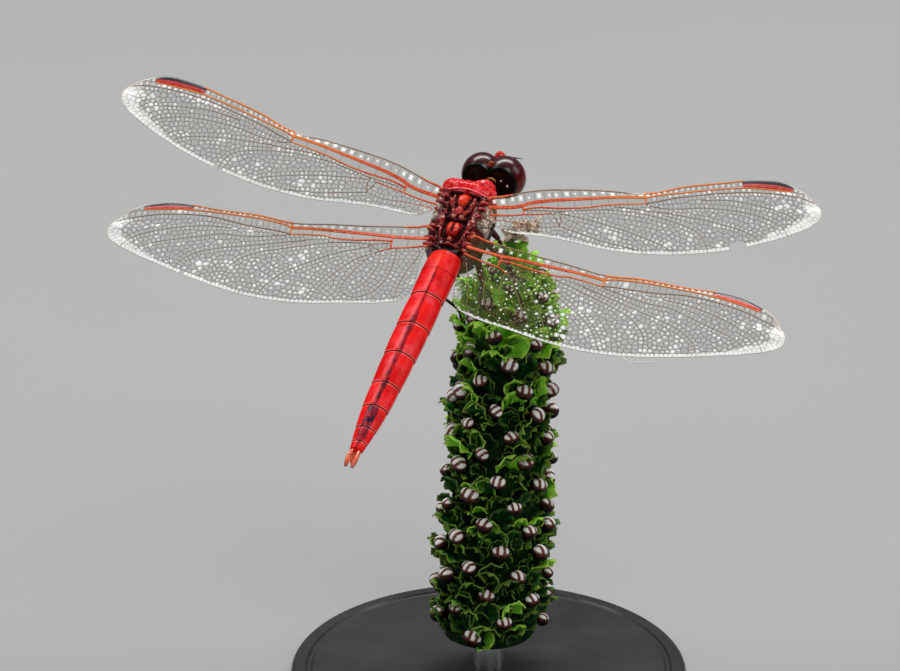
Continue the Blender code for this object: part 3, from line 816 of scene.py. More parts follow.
# %% [markdown]
# ## The eyes
# Two huge compound eyes meet along a seam on top of the head. Each starts as a fine sphere, is
# stretched and tilted, and is cut flat where it meets its twin and behind, where the cap is black and
# sunk a little. Thousands of lenses cover a real eye: a honeycomb far too fine to model, so the
# finish carries it as relief.

# %% Eyes
EYE_BACK = 1.75


def bevelled(obj, width, segments, degrees):
    """Rounds the edges that turn by more than an angle."""
    limit = {"limit_method": "ANGLE", "angle_limit": math.radians(degrees)}
    return modified(obj, "BEVEL", width=width * MM, segments=segments, **limit)


def cut_flat(obj, point, normal):
    """Cuts a mesh across a plane, keeps the side that the normal points to and closes it."""
    opened(obj)
    bpy.ops.mesh.bisect(plane_co=point, plane_no=normal, use_fill=True, clear_inner=True)
    closed(obj)


def sink_cap(obj, normal, steps):
    """Insets the flat cap that faces a direction, step by step, by a width and a depth."""
    mesh = opened(obj, "DESELECT")
    for face in mesh.faces:
        face.select_set(face.normal.dot(normal) > 0.999 and len(face.verts) > 8)
    bmesh.update_edit_mesh(obj.data)
    for thickness, depth in steps:
        bpy.ops.mesh.inset(thickness=thickness * MM, depth=-depth * MM, use_even_offset=False)
    closed(obj)


eye_finish = Finish("eye_facets", coat_roughness=0.26, coat_ior=1.5, specular_ior_level=0.1)
x, y, z = eye_finish.within(HEAD)
tone = eye_finish.noise(1.6, detail=3)
facet = eye_finish.cells(0.055, "DISTANCE_TO_EDGE")
maroon = eye_finish.painted(
    (0.035, 0.0002, 0.001),
    ((0.12, 0.0004, 0.003), (z + tone * 1.5).rise(3.2, 0.9)),
    ((0.3, 0.05, 0.02), (z + tone * 0.8).rise(-0.6, -2.2) * 0.8),
    ((0.002, 0.0004, 0.0005), y.rise(1.35, 1.6)),
    ((0.3, 0.01, 0.02), facet.rise(0.0, 0.4) * y.rise(1.4, 0.9) * 0.1),
)
eye_finish.set(base_color=maroon)
eye_finish.set(roughness=0.2 + facet.rise(0.12, 0.0) * 0.12 + y.rise(1.5, 1.7) * 0.4)
eye_finish.set(coat_weight=(0.3 + z.rise(0.9, 2.5) * 0.7) * (1 - y.rise(1.55, 1.75) * 0.97))
eye_finish.bump(facet.rise(0.0, 0.25), 0.004, 0.25)
for sign, side in SIDES:
    eye = ball((0, 0, 0), (2.5, 2.6, 2.75), segments=72, rings=48)
    eye.data.transform(shifted(sign * 1.68, 0, 0.25) @ turned(-sign * 20, "Y"))
    cut_flat(eye, (sign * 0.03 * MM, 0, 0), (sign, 0, 0))
    cut_flat(eye, (0, EYE_BACK * MM, 0), (0, -1, 0))
    bevelled(eye, 0.28, 4, 35)
    sink_cap(eye, Vector((0, 1, 0)), [(0.12, 0.02), (0.3, 0.08)])
    piece(settled(eye, HEAD), f"eye_skin_{side}", eye_finish, "eye_maroon", f"eye_{side}")

# %% [markdown]
# ## The head between the eyes
# In front the face bulges in three steps, forehead, shield and lip, and between the eyes sits a small
# knob with three simple eyes. Behind, the head is hollowed where it meets the neck, and a yellow
# crescent and two pale beads lie on the black. The head is built like the thorax, from lumps remeshed
# into one skin.

# %% Head
HEAD_LUMPS = [
    ((0.42, -1.95, 0.45), (1.4, 1.5, 1.3)), ((0, -1.75, -1.0), (1.8, 1.45, 0.95)),
    ((0, -1.35, -2.05), (1.7, 1.5, 0.85)), ((0, -2.35, 1.75), (0.72, 0.62, 0.75)),
    ((0, 0.35, -0.35), (3.2, 1.2, 2.5)), ((-0.15, 1.0, 2.4), (0.42, 0.4, 0.34)),
    ((0, 1.1, 1.5), (1.2, 0.5, 0.9)), ((0, 0.2, 0), (1.2, 2.2, 2.2)),
]
lumps = []
for (x, y, z), radii in HEAD_LUMPS:
    for twin in (1,) if x <= 0 else (1, -1):
        lumps.append(ball((x * twin, y, z), radii))
head = joined(lumps, "head_lumps")
modified(head, "REMESH", mode="VOXEL", voxel_size=0.09 * MM)
modified(head, "SMOOTH", factor=0.5, iterations=3)
places, normals = corners_of(head)
spread = (places[:, 0] / 2.1) ** 2 + ((places[:, 2] + 0.2) / 1.9) ** 2
behind = np.clip(places[:, 1], 0, 1)
places[:, 1] -= 0.85 * np.clip(1 - spread, 0, 1) * behind
places[:, 1] = np.minimum(places[:, 1], 1.5)
move_corners(head, places)
wrinkle(head, 0.4, 0.04)
note_hollows(head, 0.05)
settled(head, HEAD)
print("head corners:", len(head.data.vertices))

# %% [markdown]
# The face is red in front and brownish below. Behind it turns black, with a yellow-brown patch over
# the hollow of the neck. The crescent and the beads are small pieces of their own, because they
# stand out from the black and shine like gold.

# %% The head's finish and its neck trims
face = Finish("face_red", coat_roughness=0.1, specular_ior_level=0.12)
x, y, z = face.within(HEAD)
hollow = face.attribute("hollow")
cloud = face.noise(0.8, detail=5)
fine = face.noise(0.16, detail=4)
rear = y.rise(0.0, 0.6)
nape = rear * z.rise(2.0, 2.25) * abs(x + 0.15).rise(0.55, 0.35)
red = face.painted(
    face.mix((0.52, 0.008, 0.008), (0.78, 0.045, 0.035), cloud.rise(0.3, 0.7)),
    ((0.62, 0.2, 0.07), (z * -1).rise(0.9, 2.2) * y.rise(0, -1) * 0.8),
    ((0.0035, 0.0012, 0.0012), rear),
    ((0.2, 0.02, 0.008), nape),
    ((0.62, 0.28, 0.08), nape * face.noise(0.22, detail=2).rise(0.55, 0.68)),
    # Painted shade: darker in the hollows.
    ((0.03, 0.002, 0.002), hollow.rise(0.1, 0.5) * 0.85),
)
face.set(base_color=red, roughness=0.3 + fine * 0.2 + rear * 0.35)
face.set(coat_weight=0.5 - rear * 0.5 + nape * 0.4)
face.bump(fine + face.cells(0.09) * 0.3, 0.025, 0.5)
piece(head, "head_skin", face, "chitin_red", "head", "frons", "clypeus", "labrum")
crescent = [
    (0.35, 1.72, 0.35), (0.05, 1.76, 0.62), (-0.4, 1.78, 0.7), (-0.8, 1.76, 0.5),
    (-0.95, 1.72, 0.2),
]
trims = [roll(crescent, [0.05, 0.1, 0.12, 0.1, 0.05])]
trims += [ball((-1.67, 1.7, 0.5), (0.13, 0.12, 0.13)), ball((-2.5, 1.66, -0.1), (0.18, 0.14, 0.16))]
gold = Finish("neck_gold", coat_weight=0.5, coat_roughness=0.15)
cloud = gold.noise(0.25, detail=4)
amber = gold.mix((0.42, 0.16, 0.015), (0.8, 0.48, 0.1), cloud.rise(0.3, 0.65))
x, y, z = gold.within(HEAD)
amber = gold.mix(amber, (0.88, 0.66, 0.5), x.rise(-1.2, -1.5))
gold.set(base_color=amber, roughness=0.3 + cloud * 0.3)
gold.bump(cloud, 0.02, 0.5)
piece(settled(joined(trims, "trims"), HEAD), "head_neck_trims", gold, "chitin_red")

# %% [markdown]
# ## Finish of legs and feelers
# The legs are nearly black, with a warm brown where light comes through, and scaly. Soft noise mixes
# the two colours, and small cells raise the scales.

# %% Leg finish
leg_skin = Finish("leg_brown", coat_weight=0.2, coat_roughness=0.15, specular_ior_level=0.2)
cloud = leg_skin.noise(0.9, detail=5)
fine = leg_skin.noise(0.12, detail=3)
brown = leg_skin.mix((0.01, 0.003, 0.002), (0.07, 0.015, 0.007), cloud.rise(0.4, 0.7))
x, y, z = leg_skin.within(BODY)
brown = leg_skin.mix(brown, (0.13, 0.012, 0.007), z.rise(-7.4, -5.8) * 0.7)
leg_skin.set(base_color=brown, roughness=0.32 + fine * 0.25)
leg_skin.bump(fine + leg_skin.cells(0.07) * 0.4, 0.02, 0.6)
print("leg finish ready")

# %% [markdown]
# ## Feelers
# A dragonfly's feelers are two short bristles on thick bases, in front of the eyes. They are drawn
# out like limbs, and a few of their rings are widened into joints.

# %% Antennae
for sign, side in SIDES:
    path = [(0.72, -2.8, 1.05), (1.05, -3.8, 1.05), (1.45, -4.6, 0.75), (1.95, -5.3, 0.4)]
    rings = limb_rings(twins(sign, path), [0.24, 0.15, 0.07, 0.03], 22, 10)
    for k in (3, 4, 7):
        centre = sum(rings[k], Vector()) / 10
        rings[k] = [centre + (p - centre) * 1.3 for p in rings[k]]
    feeler = settled(drawn_out("feeler", rings), HEAD)
    piece(feeler, f"antenna_skin_{side}", leg_skin, "leg_brown", f"antenna_{side}")

# %% [markdown]
# ## The spike's measures
# The spike is thick below and tapers to its tip, and its flowers sit on it in a spiral. The steps
# here repeat how the solid places them, so that each modelled flower covers its knob on the solid,
# and the feet stand where the solid's feet stand.

# %% Where things sit on the spike
# Depth below the tip and radius there, in millimetres.
SPIKE_PROFILE = [
    (0, 0), (0.4, 0.9), (1.9, 1.5), (3.4, 2.8), (6.2, 4.4), (10, 5.1), (25, 5.5), (54.7, 6.5),
]
FROM_TIP = Matrix.Translation(SPIKE_TIP)
FLOWERS = 110
FLOWER_RADIUS = 1.35
FLOWER_HEIGHT = 1.6
FLOWER_TURN = math.radians(137.5)


def stem_radius(depth):
    """Radius of the spike between its flowers at a depth below the tip, all in millimetres."""
    return float(np.interp(depth, *zip(*SPIKE_PROFILE)))


def away_at(angle):
    """The level way out of the spike at an angle round it."""
    return Vector((math.cos(angle), math.sin(angle), 0))


def on_spike(angle, depth, out):
    """A point at an angle round the spike, a depth below its tip and a distance from its axis."""
    return SPIKE_TIP - SPIKE_LEAN * depth * MM + away_at(angle) * out * MM


flowers = []
for i in range(FLOWERS):
    turn = i * FLOWER_TURN
    depth = 1.8 + (i + 0.5) / FLOWERS * (SPIKE_LENGTH / MM - 3.2)
    flowers.append((turn, depth, on_spike(turn, depth, stem_radius(depth))))


def skin_radius(angle, depth):
    """Radius of the solid's skin, which rises over each flower near it."""
    stem = stem_radius(depth)
    skin_point = on_spike(angle, depth, stem)
    rise = 0.0
    for _, _, centre in flowers:
        near = (skin_point - centre).length / (FLOWER_RADIUS * MM)
        if near < 1:
            rise = max(rise, FLOWER_HEIGHT * math.sqrt(1 - near**2))
    return stem + rise


print("flowers placed:", len(flowers))

# %% [markdown]
# ## Legs
# Each leg has a thick thigh, a thin shin with two rows of long spines for catching prey, and a foot
# of three small joints with a pair of hooked claws. The knee is found from the two lengths, as with
# compasses, and each spine is a thin three-sided cone.

# %% Knees and bristles
# Each leg: its hip in the body's frame, then the angle round the spike and the depth at which its
# ankle and its claws stand, the way its knee bends, and the lengths of thigh and shin.
LEGS = {
    "leg_front_left": ((0.9, -5.3, -4.75), (24, 3.2), (-6, 4.2), (0.9, -0.4, 0.3), (3.8, 3.4)),
    "leg_front_right": ((-0.9, -5.3, -4.75), (116, 3.2), (142, 4.2), (-0.9, -0.4, 0.3), (3.8, 3.4)),
    "leg_middle_left": ((1.3, -3.6, -6.0), (5, 6.0), (-10, 7.6), (1, 0.2, 0.3), (5.4, 5.0)),
    "leg_middle_right": ((-1.3, -3.6, -6.0), (122, 5.8), (132, 7.4), (-1, 0.2, 0.3), (5.4, 5.0)),
    "leg_hind_left": ((1.5, -1.6, -6.4), (38, 8.4), (31, 10.4), (0.7, 0.7, 0.3), (6.2, 6.4)),
    "leg_hind_right": ((-1.5, -1.6, -6.4), (72, 6.4), (86, 8.4), (-0.4, 0.8, 0.5), (5.4, 6.0)),
}


def knee_between(hip, ankle, femur, tibia, towards):
    """Where the knee lies for two limb lengths, bent towards a direction."""
    line = ankle - hip
    axis = line.normalized()
    reach = min(line.length, 0.98 * (femur + tibia))
    along = (femur**2 - tibia**2 + reach**2) / (2 * reach)
    off = math.sqrt(max(0.0, femur**2 - along**2))
    bend = (towards - axis * towards.dot(axis)).normalized()
    return hip + axis * along + bend * off


def bristle(root, tip, thick):
    """A fine three-sided spine from root to tip, with its thickness in millimetres."""
    nothing_selected()
    length = (tip - root).length
    ends = {"radius1": thick * MM, "radius2": thick * 0.1 * MM}
    bpy.ops.mesh.primitive_cone_add(vertices=3, depth=length, **ends)
    obj = bpy.context.active_object
    turn = (tip - root).to_track_quat("Z", "Y").to_matrix().to_4x4()
    obj.data.transform(Matrix.Translation((root + tip) / 2) @ turn)
    return obj


print("legs to place:", len(LEGS))

# %% [markdown]
# Each stretch of a leg swells below its upper joint and thins towards the next. The thigh carries one
# row of five bristles and the shin two rows of eight. Where shins and feet lie is noted, so that
# leaves and seed heads can make room for them.

# %% Legs
# Shares of a stretch's length, and the radius at each, in millimetres.
THIGH = ((0, 0.12, 0.5, 0.9, 1), (0.42, 0.5, 0.46, 0.36, 0.24))
SHIN = ((0, 0.06, 0.5, 0.95, 1), (0.22, 0.25, 0.2, 0.19, 0.15))
FOOT = ((0, 0.3, 0.34, 0.62, 0.66, 1), (0.15, 0.18, 0.12, 0.17, 0.12, 0.14))
ANKLE_GAP = 0.27 + 0.08
CLAW_GAP = 0.125
leg_lines = []


def leg_spines(hip, knee, ankle, side, outward):
    """The bristles of one leg."""
    spines = []
    down = (ankle - knee).normalized()
    for share in np.linspace(0.12, 0.92, 8):
        for way in (1, -1):
            root = knee.lerp(ankle, float(share))
            lean = (side * way - outward * 0.5 + down * 0.8).normalized()
            spines.append(bristle(root, root + lean * (0.95 - 0.35 * share) * MM, 0.035))
    for share in np.linspace(0.3, 0.85, 5):
        root = hip.lerp(knee, float(share))
        lean = (side - outward * 0.4).normalized()
        spines.append(bristle(root, root + lean * 0.7 * MM, 0.03))
    return spines


def leg(name, hip_at, ankle_at, claws_at, bend, lengths):
    """One leg as a single piece, from its hip to its claws."""
    hip = BODY @ (Vector(hip_at) * MM)
    clear = stem_radius(ankle_at[1]) + FLOWER_HEIGHT + ANKLE_GAP
    ankle = on_spike(math.radians(ankle_at[0]), ankle_at[1], clear)
    turn = math.radians(claws_at[0])
    claws = on_spike(turn, claws_at[1], skin_radius(turn, claws_at[1]) + CLAW_GAP)
    femur, tibia = lengths[0] * MM, lengths[1] * MM
    knee = knee_between(hip, ankle, femur, tibia, BODY.to_3x3() @ Vector(bend))
    leg_lines.append((knee, ankle, claws))
    parts = []
    for (shares, radii), a, b in ((THIGH, hip, knee), (SHIN, knee, ankle), (FOOT, ankle, claws)):
        parts.append(limb("stretch", [a.lerp(b, share) for share in shares], radii, 14, 10))
    outward = (knee - (hip + ankle) / 2).normalized()
    side = (ankle - knee).cross(outward).normalized()
    parts += leg_spines(hip, knee, ankle, side, outward)
    end = (claws - ankle).normalized()
    for way in (1, -1):
        halfway = claws + (end * 0.25 + side * 0.16 * way) * MM
        point = claws + (end * 0.42 + side * 0.22 * way - outward * 0.16) * MM
        parts.append(limb("claw", [claws, halfway, point], [0.09, 0.06, 0.015], 6, 6))
    nodes = [f"{name}_{part}" for part in ("femur", "tibia", "tarsus")]
    piece(joined(parts, name), name + "_skin", leg_skin, "leg_brown", *nodes)


for name, measures in LEGS.items():
    leg(name, *measures)

# %% [markdown]
# ## How a wing is divided
# A dragonfly's wing is a net of veins with clear skin stretched in every mesh. A few strong veins run
# out from the root, and rows of cells fill the space between. Near the front edge the cells are
# ladders of simple boxes; behind, they are rounded and packed like bubbles. Bubbles that meet halfway
# between their centres are what geometers call Voronoi cells, so the net is grown from seeds: pairs
# of seeds on both sides of each vein keep a wall along it, and the rest fill up in rows.

# %% The fore wing's lines
# All points are in millimetres: out along the wing, then back from the line of its root.
FORE_WING = {
    "outline": [
        (-0.5, -0.2), (1.5, -0.75), (5, -1.55), (10, -1.9), (15, -1.8), (19.8, -1.3), (25, -2.4),
        (30, -3.0), (35, -3.35), (38.7, -2.75), (41.1, -0.8), (42.2, 1.4), (41.1, 3.2), (38.3, 4.7),
        (34.8, 5.9), (30, 7.05), (25, 7.7), (20, 7.95), (15.5, 7.5), (10.5, 6.35), (6, 5.3), (3, 4.9),
        (1.2, 4.5), (0.1, 3.6), (-0.5, 3.0),
    ],
    "nodus": 19.75,
    "arculus": 3.9,
    "stigma": (32.7, 39.2),
    "flap": (0.5, 3.3, 1.7),
    "subcosta": [
        (-0.5, 0.9), (2, 0.9), (3.5, 0.75), (5, 0.3), (8, -0.15), (12, -0.45), (16, -0.65),
        (19.75, -0.6),
    ],
    "cubitus": [(-0.5, 2.1), (2, 2.2), (3.9, 2.0), (5.5, 1.95), (7.6, 1.7)],
    "radius_sector": [(3.9, 1.15), (6, 0.85), (9, 0.9), (12, 0.8), (15, 0.45), (19.75, 0.25)],
    "radius": [
        (19.75, -0.5), (20.6, -0.8), (22, -1.1), (25, -1.6), (28, -2.0), (32.5, -2.3), (36, -2.1),
        (39, -1.8), (40.4, -1.5),
    ],
    "branch": [
        (19.75, 0.2), (21.5, -0.1), (24, -0.7), (27, -1.15), (30, -1.5), (33, -1.6), (36, -1.45),
        (38.5, -1.1), (40.3, -0.65), (41.5, -0.1),
    ],
    "inner": {
        "media": [
            (3.9, 1.3), (6, 1.3), (9, 1.35), (13, 1.15), (15.5, 1.3), (18, 1.6), (20, 2.0),
            (22.5, 2.8), (24.7, 3.8), (26, 4.9), (26.6, 6.2), (26.7, 7.6),
        ],
        "second": [
            (19.75, 0.3), (21, 0.7), (23.5, 0.9), (26.5, 0.75), (29, 0.95), (32, 1.45), (34.5, 2.2),
            (36.5, 3.3), (37.4, 5.0),
        ],
        "third": [
            (15, 0.6), (18, 1.0), (22, 1.6), (25, 2.3), (28, 3.0), (31, 3.9), (33.1, 5.1),
            (33.8, 6.2),
        ],
        "between": [(27, -0.3), (30, -0.3), (33, 0.1), (36, 0.9), (38.4, 2.2), (39.7, 4.0)],
        "lower": [(8.6, 1.8), (12, 2.8), (16, 4.1), (19, 5.5), (21.4, 6.9), (22.2, 7.9)],
        "hinder": [(8.2, 3.7), (11, 5.0), (14, 6.1), (17, 7.0), (18.6, 7.9)],
        "anal": [(-0.3, 2.9), (3, 3.2), (6, 3.8), (8.2, 3.7)],
    },
    "triangle": [(7.6, 1.7), (8.8, 1.5), (8.2, 3.7)],
}
print("fore wing's inner veins:", len(FORE_WING["inner"]))

# %% [markdown]
# The hind wing is shorter and much broader at its base, where a boot-shaped loop of veins, with a
# heel and a sole, stiffens the widest part.

# %% The hind wing's lines
HIND_WING = {
    "outline": [
        (-0.5, 0.2), (1.5, 0.2), (6, 0.25), (12, 0.15), (17.2, 0.2), (22, -0.85), (27, -1.6),
        (32, -2.3), (35.2, -2.1), (37.6, -1.25), (39.7, 0.5), (40.7, 2.5), (39.6, 4.2), (37.2, 5.6),
        (33, 7.5), (28, 9.5), (22.5, 11.25), (17.5, 12.2), (13, 12.5), (8, 12.15), (3.5, 11.85),
        (1.25, 11.1), (0.3, 9), (0.1, 6), (-0.2, 4.2), (-0.5, 3.2),
    ],
    "nodus": 17.2,
    "arculus": 4.1,
    "stigma": (30.4, 36.7),
    "flap": (0.4, 8.6, 2.4),
    "subcosta": [(-0.5, 1.8), (2, 1.85), (4, 1.75), (7, 1.4), (10, 1.15), (14, 0.95), (17.2, 0.9)],
    "cubitus": [(-0.5, 3.0), (2, 3.35), (4.1, 3.5), (5.4, 4.0)],
    "radius_sector": [(4.1, 2.5), (6, 2.35), (9, 2.5), (11.5, 2.4), (13, 2.05), (17.2, 2.0)],
    "radius": [
        (17.2, 0.95), (18, 0.5), (20, 0.05), (22, -0.35), (25, -0.8), (28, -1.15), (30.4, -1.3),
        (33.5, -1.2), (36.5, -1.0), (38.4, -0.65),
    ],
    "branch": [
        (17.2, 1.95), (19, 1.45), (21.5, 0.95), (24, 0.45), (27, -0.2), (29, -0.4), (32, -0.45),
        (35, -0.3), (37.3, 0.0), (38.8, 0.35), (39.9, 0.85),
    ],
    "inner": {
        "media": [
            (4.1, 2.75), (6.5, 3.0), (8.5, 2.85), (12, 3.1), (15, 3.6), (18, 4.2), (20.5, 4.9),
            (22.8, 6.0), (24.3, 7.6), (25, 10.3),
        ],
        "second": [
            (17.2, 2.1), (20, 2.35), (23, 2.5), (26, 2.35), (28, 2.7), (31, 3.15), (34, 3.75),
            (36.2, 4.9), (36.8, 5.8),
        ],
        "third": [
            (14, 2.7), (17, 3.05), (20, 3.5), (23, 4.1), (26, 4.6), (28.5, 5.2), (30.4, 6.5),
            (31.2, 8.3),
        ],
        "between": [(25, 1.2), (28, 1.1), (31, 1.4), (34, 2.0), (37, 3.0), (38.6, 4.7)],
        "lower": [(6.9, 3.4), (10, 4.4), (13, 5.6), (16, 7.2), (18.5, 9.4), (20, 11.8)],
        "hinder": [(6.4, 4.6), (8, 5.4), (10, 7.1), (12, 9.6), (13.2, 12.5)],
        "heel": [
            (3.3, 3.5), (3.4, 6.0), (4.0, 8.6), (5.6, 10.6), (8, 11.2), (9.4, 9.8), (8.2, 7.4),
            (6.4, 4.9),
        ],
        "sole": [(5.3, 4.1), (5.3, 6.4), (6.2, 8.6), (7.6, 10.0)],
        "anal": [(0.2, 4.2), (1.4, 6.8), (2.2, 9.4), (2.4, 11.4)],
    },
    "triangle": [(5.4, 4.0), (6.9, 3.0), (6.4, 4.7)],
}
print("hind wing's inner veins:", len(HIND_WING["inner"]))

# %% [markdown]
# The four wings of this insect differ in how they are held and in what has happened to them: three
# have tears in their hind edges, and from the fourth hangs a shred.

# %% How the four wings are held
# Each wing: its pattern, its side, its root in the body's frame, its sweep, rise and twist, its tears
# (middle and half sizes), how bright the painted glints of its front row are, and a shred that hangs
# at its edge.
SHRED = [(22.9, 11.2), (24, 11.75), (25.3, 11.2), (26.2, 10.95), (27.3, 10.5)]
WINGS = {
    "wing_fore_left": (
        FORE_WING, 1, (3.47, -2.86, 1.9), (4.2, 5.7, 4.7), [(26.75, 7.4, 0.4, 0.8)], 0.6, None,
    ),
    "wing_fore_right": (
        FORE_WING, -1, (-3.47, -2.86, 1.9), (23.8, -10.5, 6.9),
        [(30.7, 6.9, 0.95, 1.05), (32.6, 7.2, 1.2, 0.45)], 0.6, None,
    ),
    "wing_hind_left": (
        HIND_WING, 1, (3.14, 3.03, 1.64), (-7.4, -6.1, 3.2), [(30.1, 8.6, 0.35, 0.9)], 0.5, None,
    ),
    "wing_hind_right": (
        HIND_WING, -1, (-3.14, 3.03, 1.64), (-2.6, -3.5, 1.0), [], 0.15, SHRED,
    ),
}
CELL = 0.6
SEED_GAP = CELL * 0.46
SEED_STEP = CELL * 0.95
print("wings:", len(WINGS))

# %% [markdown]
# A smooth outline comes from a Bezier curve that is made a mesh, and its corners are read back. The
# front edge and each long vein can then be asked how far back they lie at any place along the wing.

# %% Reading lines
def as_mesh(obj):
    """A curve turned into a mesh."""
    picked(obj)
    bpy.ops.object.convert(target="MESH")
    return obj


def smooth_outline(corners):
    """A closed outline through its corners, as many short steps."""
    nothing_selected()
    data = bpy.data.curves.new("outline", "CURVE")
    data.resolution_u = 10
    spline = data.splines.new("BEZIER")
    spline.bezier_points.add(len(corners) - 1)
    for target, (along, back) in zip(spline.bezier_points, corners):
        target.co = (along, back, 0)
        target.handle_left_type = target.handle_right_type = "AUTO"
    spline.use_cyclic_u = True
    obj = as_mesh(in_scene("outline", data))
    points = np.array([v.co[:2] for v in obj.data.vertices])
    bpy.data.objects.remove(obj)
    return points


def smooth_line(points, step=0.25):
    """A smooth line through points, with steps of about the same length."""
    dense = np.array(spaced([np.array(p, float) for p in points], 40 * len(points)))
    walked = np.concatenate([[0], np.cumsum(np.linalg.norm(np.diff(dense, axis=0), axis=1))])
    count = max(3, int(walked[-1] / step) + 1)
    at = np.linspace(0, walked[-1], count)
    return np.column_stack([np.interp(at, walked, dense[:, i]) for i in (0, 1)])


def back_at(line, along):
    """How far back a line lies at a place along the wing."""
    return np.interp(along, line[:, 0], line[:, 1])


def inside(points, polygon):
    """Which points lie inside a closed polygon."""
    result = np.zeros(len(points), bool)
    x, y = points[:, 0], points[:, 1]
    for (x0, y0), (x1, y1) in zip(polygon, np.roll(polygon, -1, axis=0)):
        crosses = (y0 > y) != (y1 > y)
        if y1 != y0:
            result ^= crosses & (x < (x1 - x0) * (y - y0) / (y1 - y0) + x0)
    return result


print("steps along one branch:", len(smooth_line(FORE_WING["branch"])))

# %% [markdown]
# The seeds come in three sets: ghosts outside the field, which only shape its rim; pairs along each
# vein; and the filling. The filling is taken in order of distance from the nearest line, so it packs
# in rows that follow the veins, as the real cells do.

# %% Growing cells from seeds
def field_of(wing):
    """The part of the wing behind its ladders, as a closed polygon."""
    outline = smooth_outline(wing["outline"])
    root = smooth_line([p for p in wing["cubitus"] if p[0] <= wing["arculus"]])
    front = np.vstack([root, smooth_line(wing["radius_sector"]), smooth_line(wing["branch"])])
    start = int(np.argmin(np.linalg.norm(outline - front[-1], axis=1)))
    ring = np.roll(outline, -start, axis=0)
    if ring[5, 1] < ring[0, 1]:
        ring = np.roll(ring[::-1], 1, axis=0)
    end = int(np.argmin(np.linalg.norm(ring - front[0] - (0, 0.1), axis=1)))
    return outline, np.vstack([front, ring[1:end]])


def pairs_along(line):
    """Seeds on both sides of a line."""
    walk = smooth_line(line, SEED_STEP)
    middle = (walk[1:] + walk[:-1]) / 2
    ahead = walk[1:] - walk[:-1]
    side = np.column_stack([-ahead[:, 1], ahead[:, 0]]) / np.linalg.norm(ahead, axis=1)[:, None]
    return middle + side * SEED_GAP, middle - side * SEED_GAP


def distance_tree(points):
    """A tree that finds the nearest of many points."""
    tree = kdtree.KDTree(len(points))
    for index, point in enumerate(points):
        tree.insert((*point, 0), index)
    tree.balance()
    return tree


def rim_and_vein_seeds(wing, field):
    """Seeds inside the field along its rim and its veins, and ghosts outside it."""
    seeds, ghosts = [], []
    for points in pairs_along(np.vstack([field, field[:1]])):
        kept = inside(points, field)
        seeds += [tuple(point) for point in points[kept]]
        ghosts += [tuple(point) for point in points[~kept]]
    for line in wing["inner"].values():
        for points in pairs_along(line):
            for point in points[inside(points, field)]:
                if min(math.dist(point, other) for other in seeds) > CELL * 0.62:
                    seeds.append(tuple(point))
    return seeds, ghosts


print("a pair of seeds every", round(SEED_STEP, 2), "mm of a vein")

# %% [markdown]
# The filling starts from a fine grid. Each point is shaken a little and kept only where it has room,
# and seeds are sorted into square buckets to keep the search short. The cell round a seed is the
# polygon whose corners are as far from it as from its neighbours.

# %% Filling the field
def grow_seeds(wing, dice):
    """Seeds for the cells behind the ladders, and the ghosts round them."""
    outline, field = field_of(wing)
    seeds, ghosts = rim_and_vein_seeds(wing, field)
    tree = distance_tree(np.vstack([field] + [smooth_line(line) for line in wing["inner"].values()]))
    low, high = field.min(0), field.max(0)
    steps = [np.arange(low[i], high[i], 0.11) for i in (0, 1)]
    grid = np.stack(np.meshgrid(*steps), -1).reshape(-1, 2)
    order = []
    for point in grid[inside(grid, field)]:
        point = point + (dice.uniform(-0.05, 0.05), dice.uniform(-0.05, 0.05))
        order.append((round(tree.find((*point, 0))[2] / 0.2), point[0], tuple(point)))
    order.sort()
    buckets = {}
    for seed in seeds + ghosts:
        buckets.setdefault((int(seed[0] // 1), int(seed[1] // 1)), []).append(seed)
    around = [(i, j) for i in (-1, 0, 1) for j in (-1, 0, 1)]
    for _, _, point in order:
        column, row = int(point[0] // 1), int(point[1] // 1)
        near = [s for i, j in around for s in buckets.get((column + i, row + j), ())]
        room = CELL * (0.94 + 0.12 * dice.random())
        if all(math.dist(point, s) > room for s in near):
            seeds.append(point)
            buckets.setdefault((column, row), []).append(point)
    return outline, seeds, ghosts


def voronoi_cells(seeds, ghosts):
    """The polygon round each seed; its corners are centres of the triangles between seeds."""
    far = [(-30, -30), (80, -30), (80, 50), (-30, 50)]
    points = [Vector(p) for p in seeds + ghosts + far]
    made = geometry.delaunay_2d_cdt(points, [], [], 0, 1e-7)
    corners, centres, around = made[0], [], {}
    for face in made[2]:
        a, b, c = (corners[i] for i in face)
        d = 2 * (a.x * (b.y - c.y) + b.x * (c.y - a.y) + c.x * (a.y - b.y))
        if abs(d) < 1e-9:
            continue
        aa, bb, cc = a.length_squared, b.length_squared, c.length_squared
        x = (aa * (b.y - c.y) + bb * (c.y - a.y) + cc * (a.y - b.y)) / d
        y = (aa * (c.x - b.x) + bb * (a.x - c.x) + cc * (b.x - a.x)) / d
        for i in face:
            around.setdefault(i, []).append(len(centres))
        centres.append((x, y))
    from_input = {source: kept for kept, sources in enumerate(made[3]) for source in sources}
    cells = []
    for i, seed in enumerate(seeds):
        ring = around.get(from_input.get(i, -1), [])
        ring.sort(key=lambda k: math.atan2(centres[k][1] - seed[1], centres[k][0] - seed[0]))
        if len(ring) > 2:
            cells.append([centres[k] for k in ring])
    return cells


print("cells will be about", CELL, "mm wide")

# %% [markdown]
# The ladders are simple: a row of boxes between two lines, with a rung at every step.

# %% Ladders
def on_line(line, places):
    """Points of a line at places along the wing."""
    return [(place, float(back_at(line, place))) for place in places]


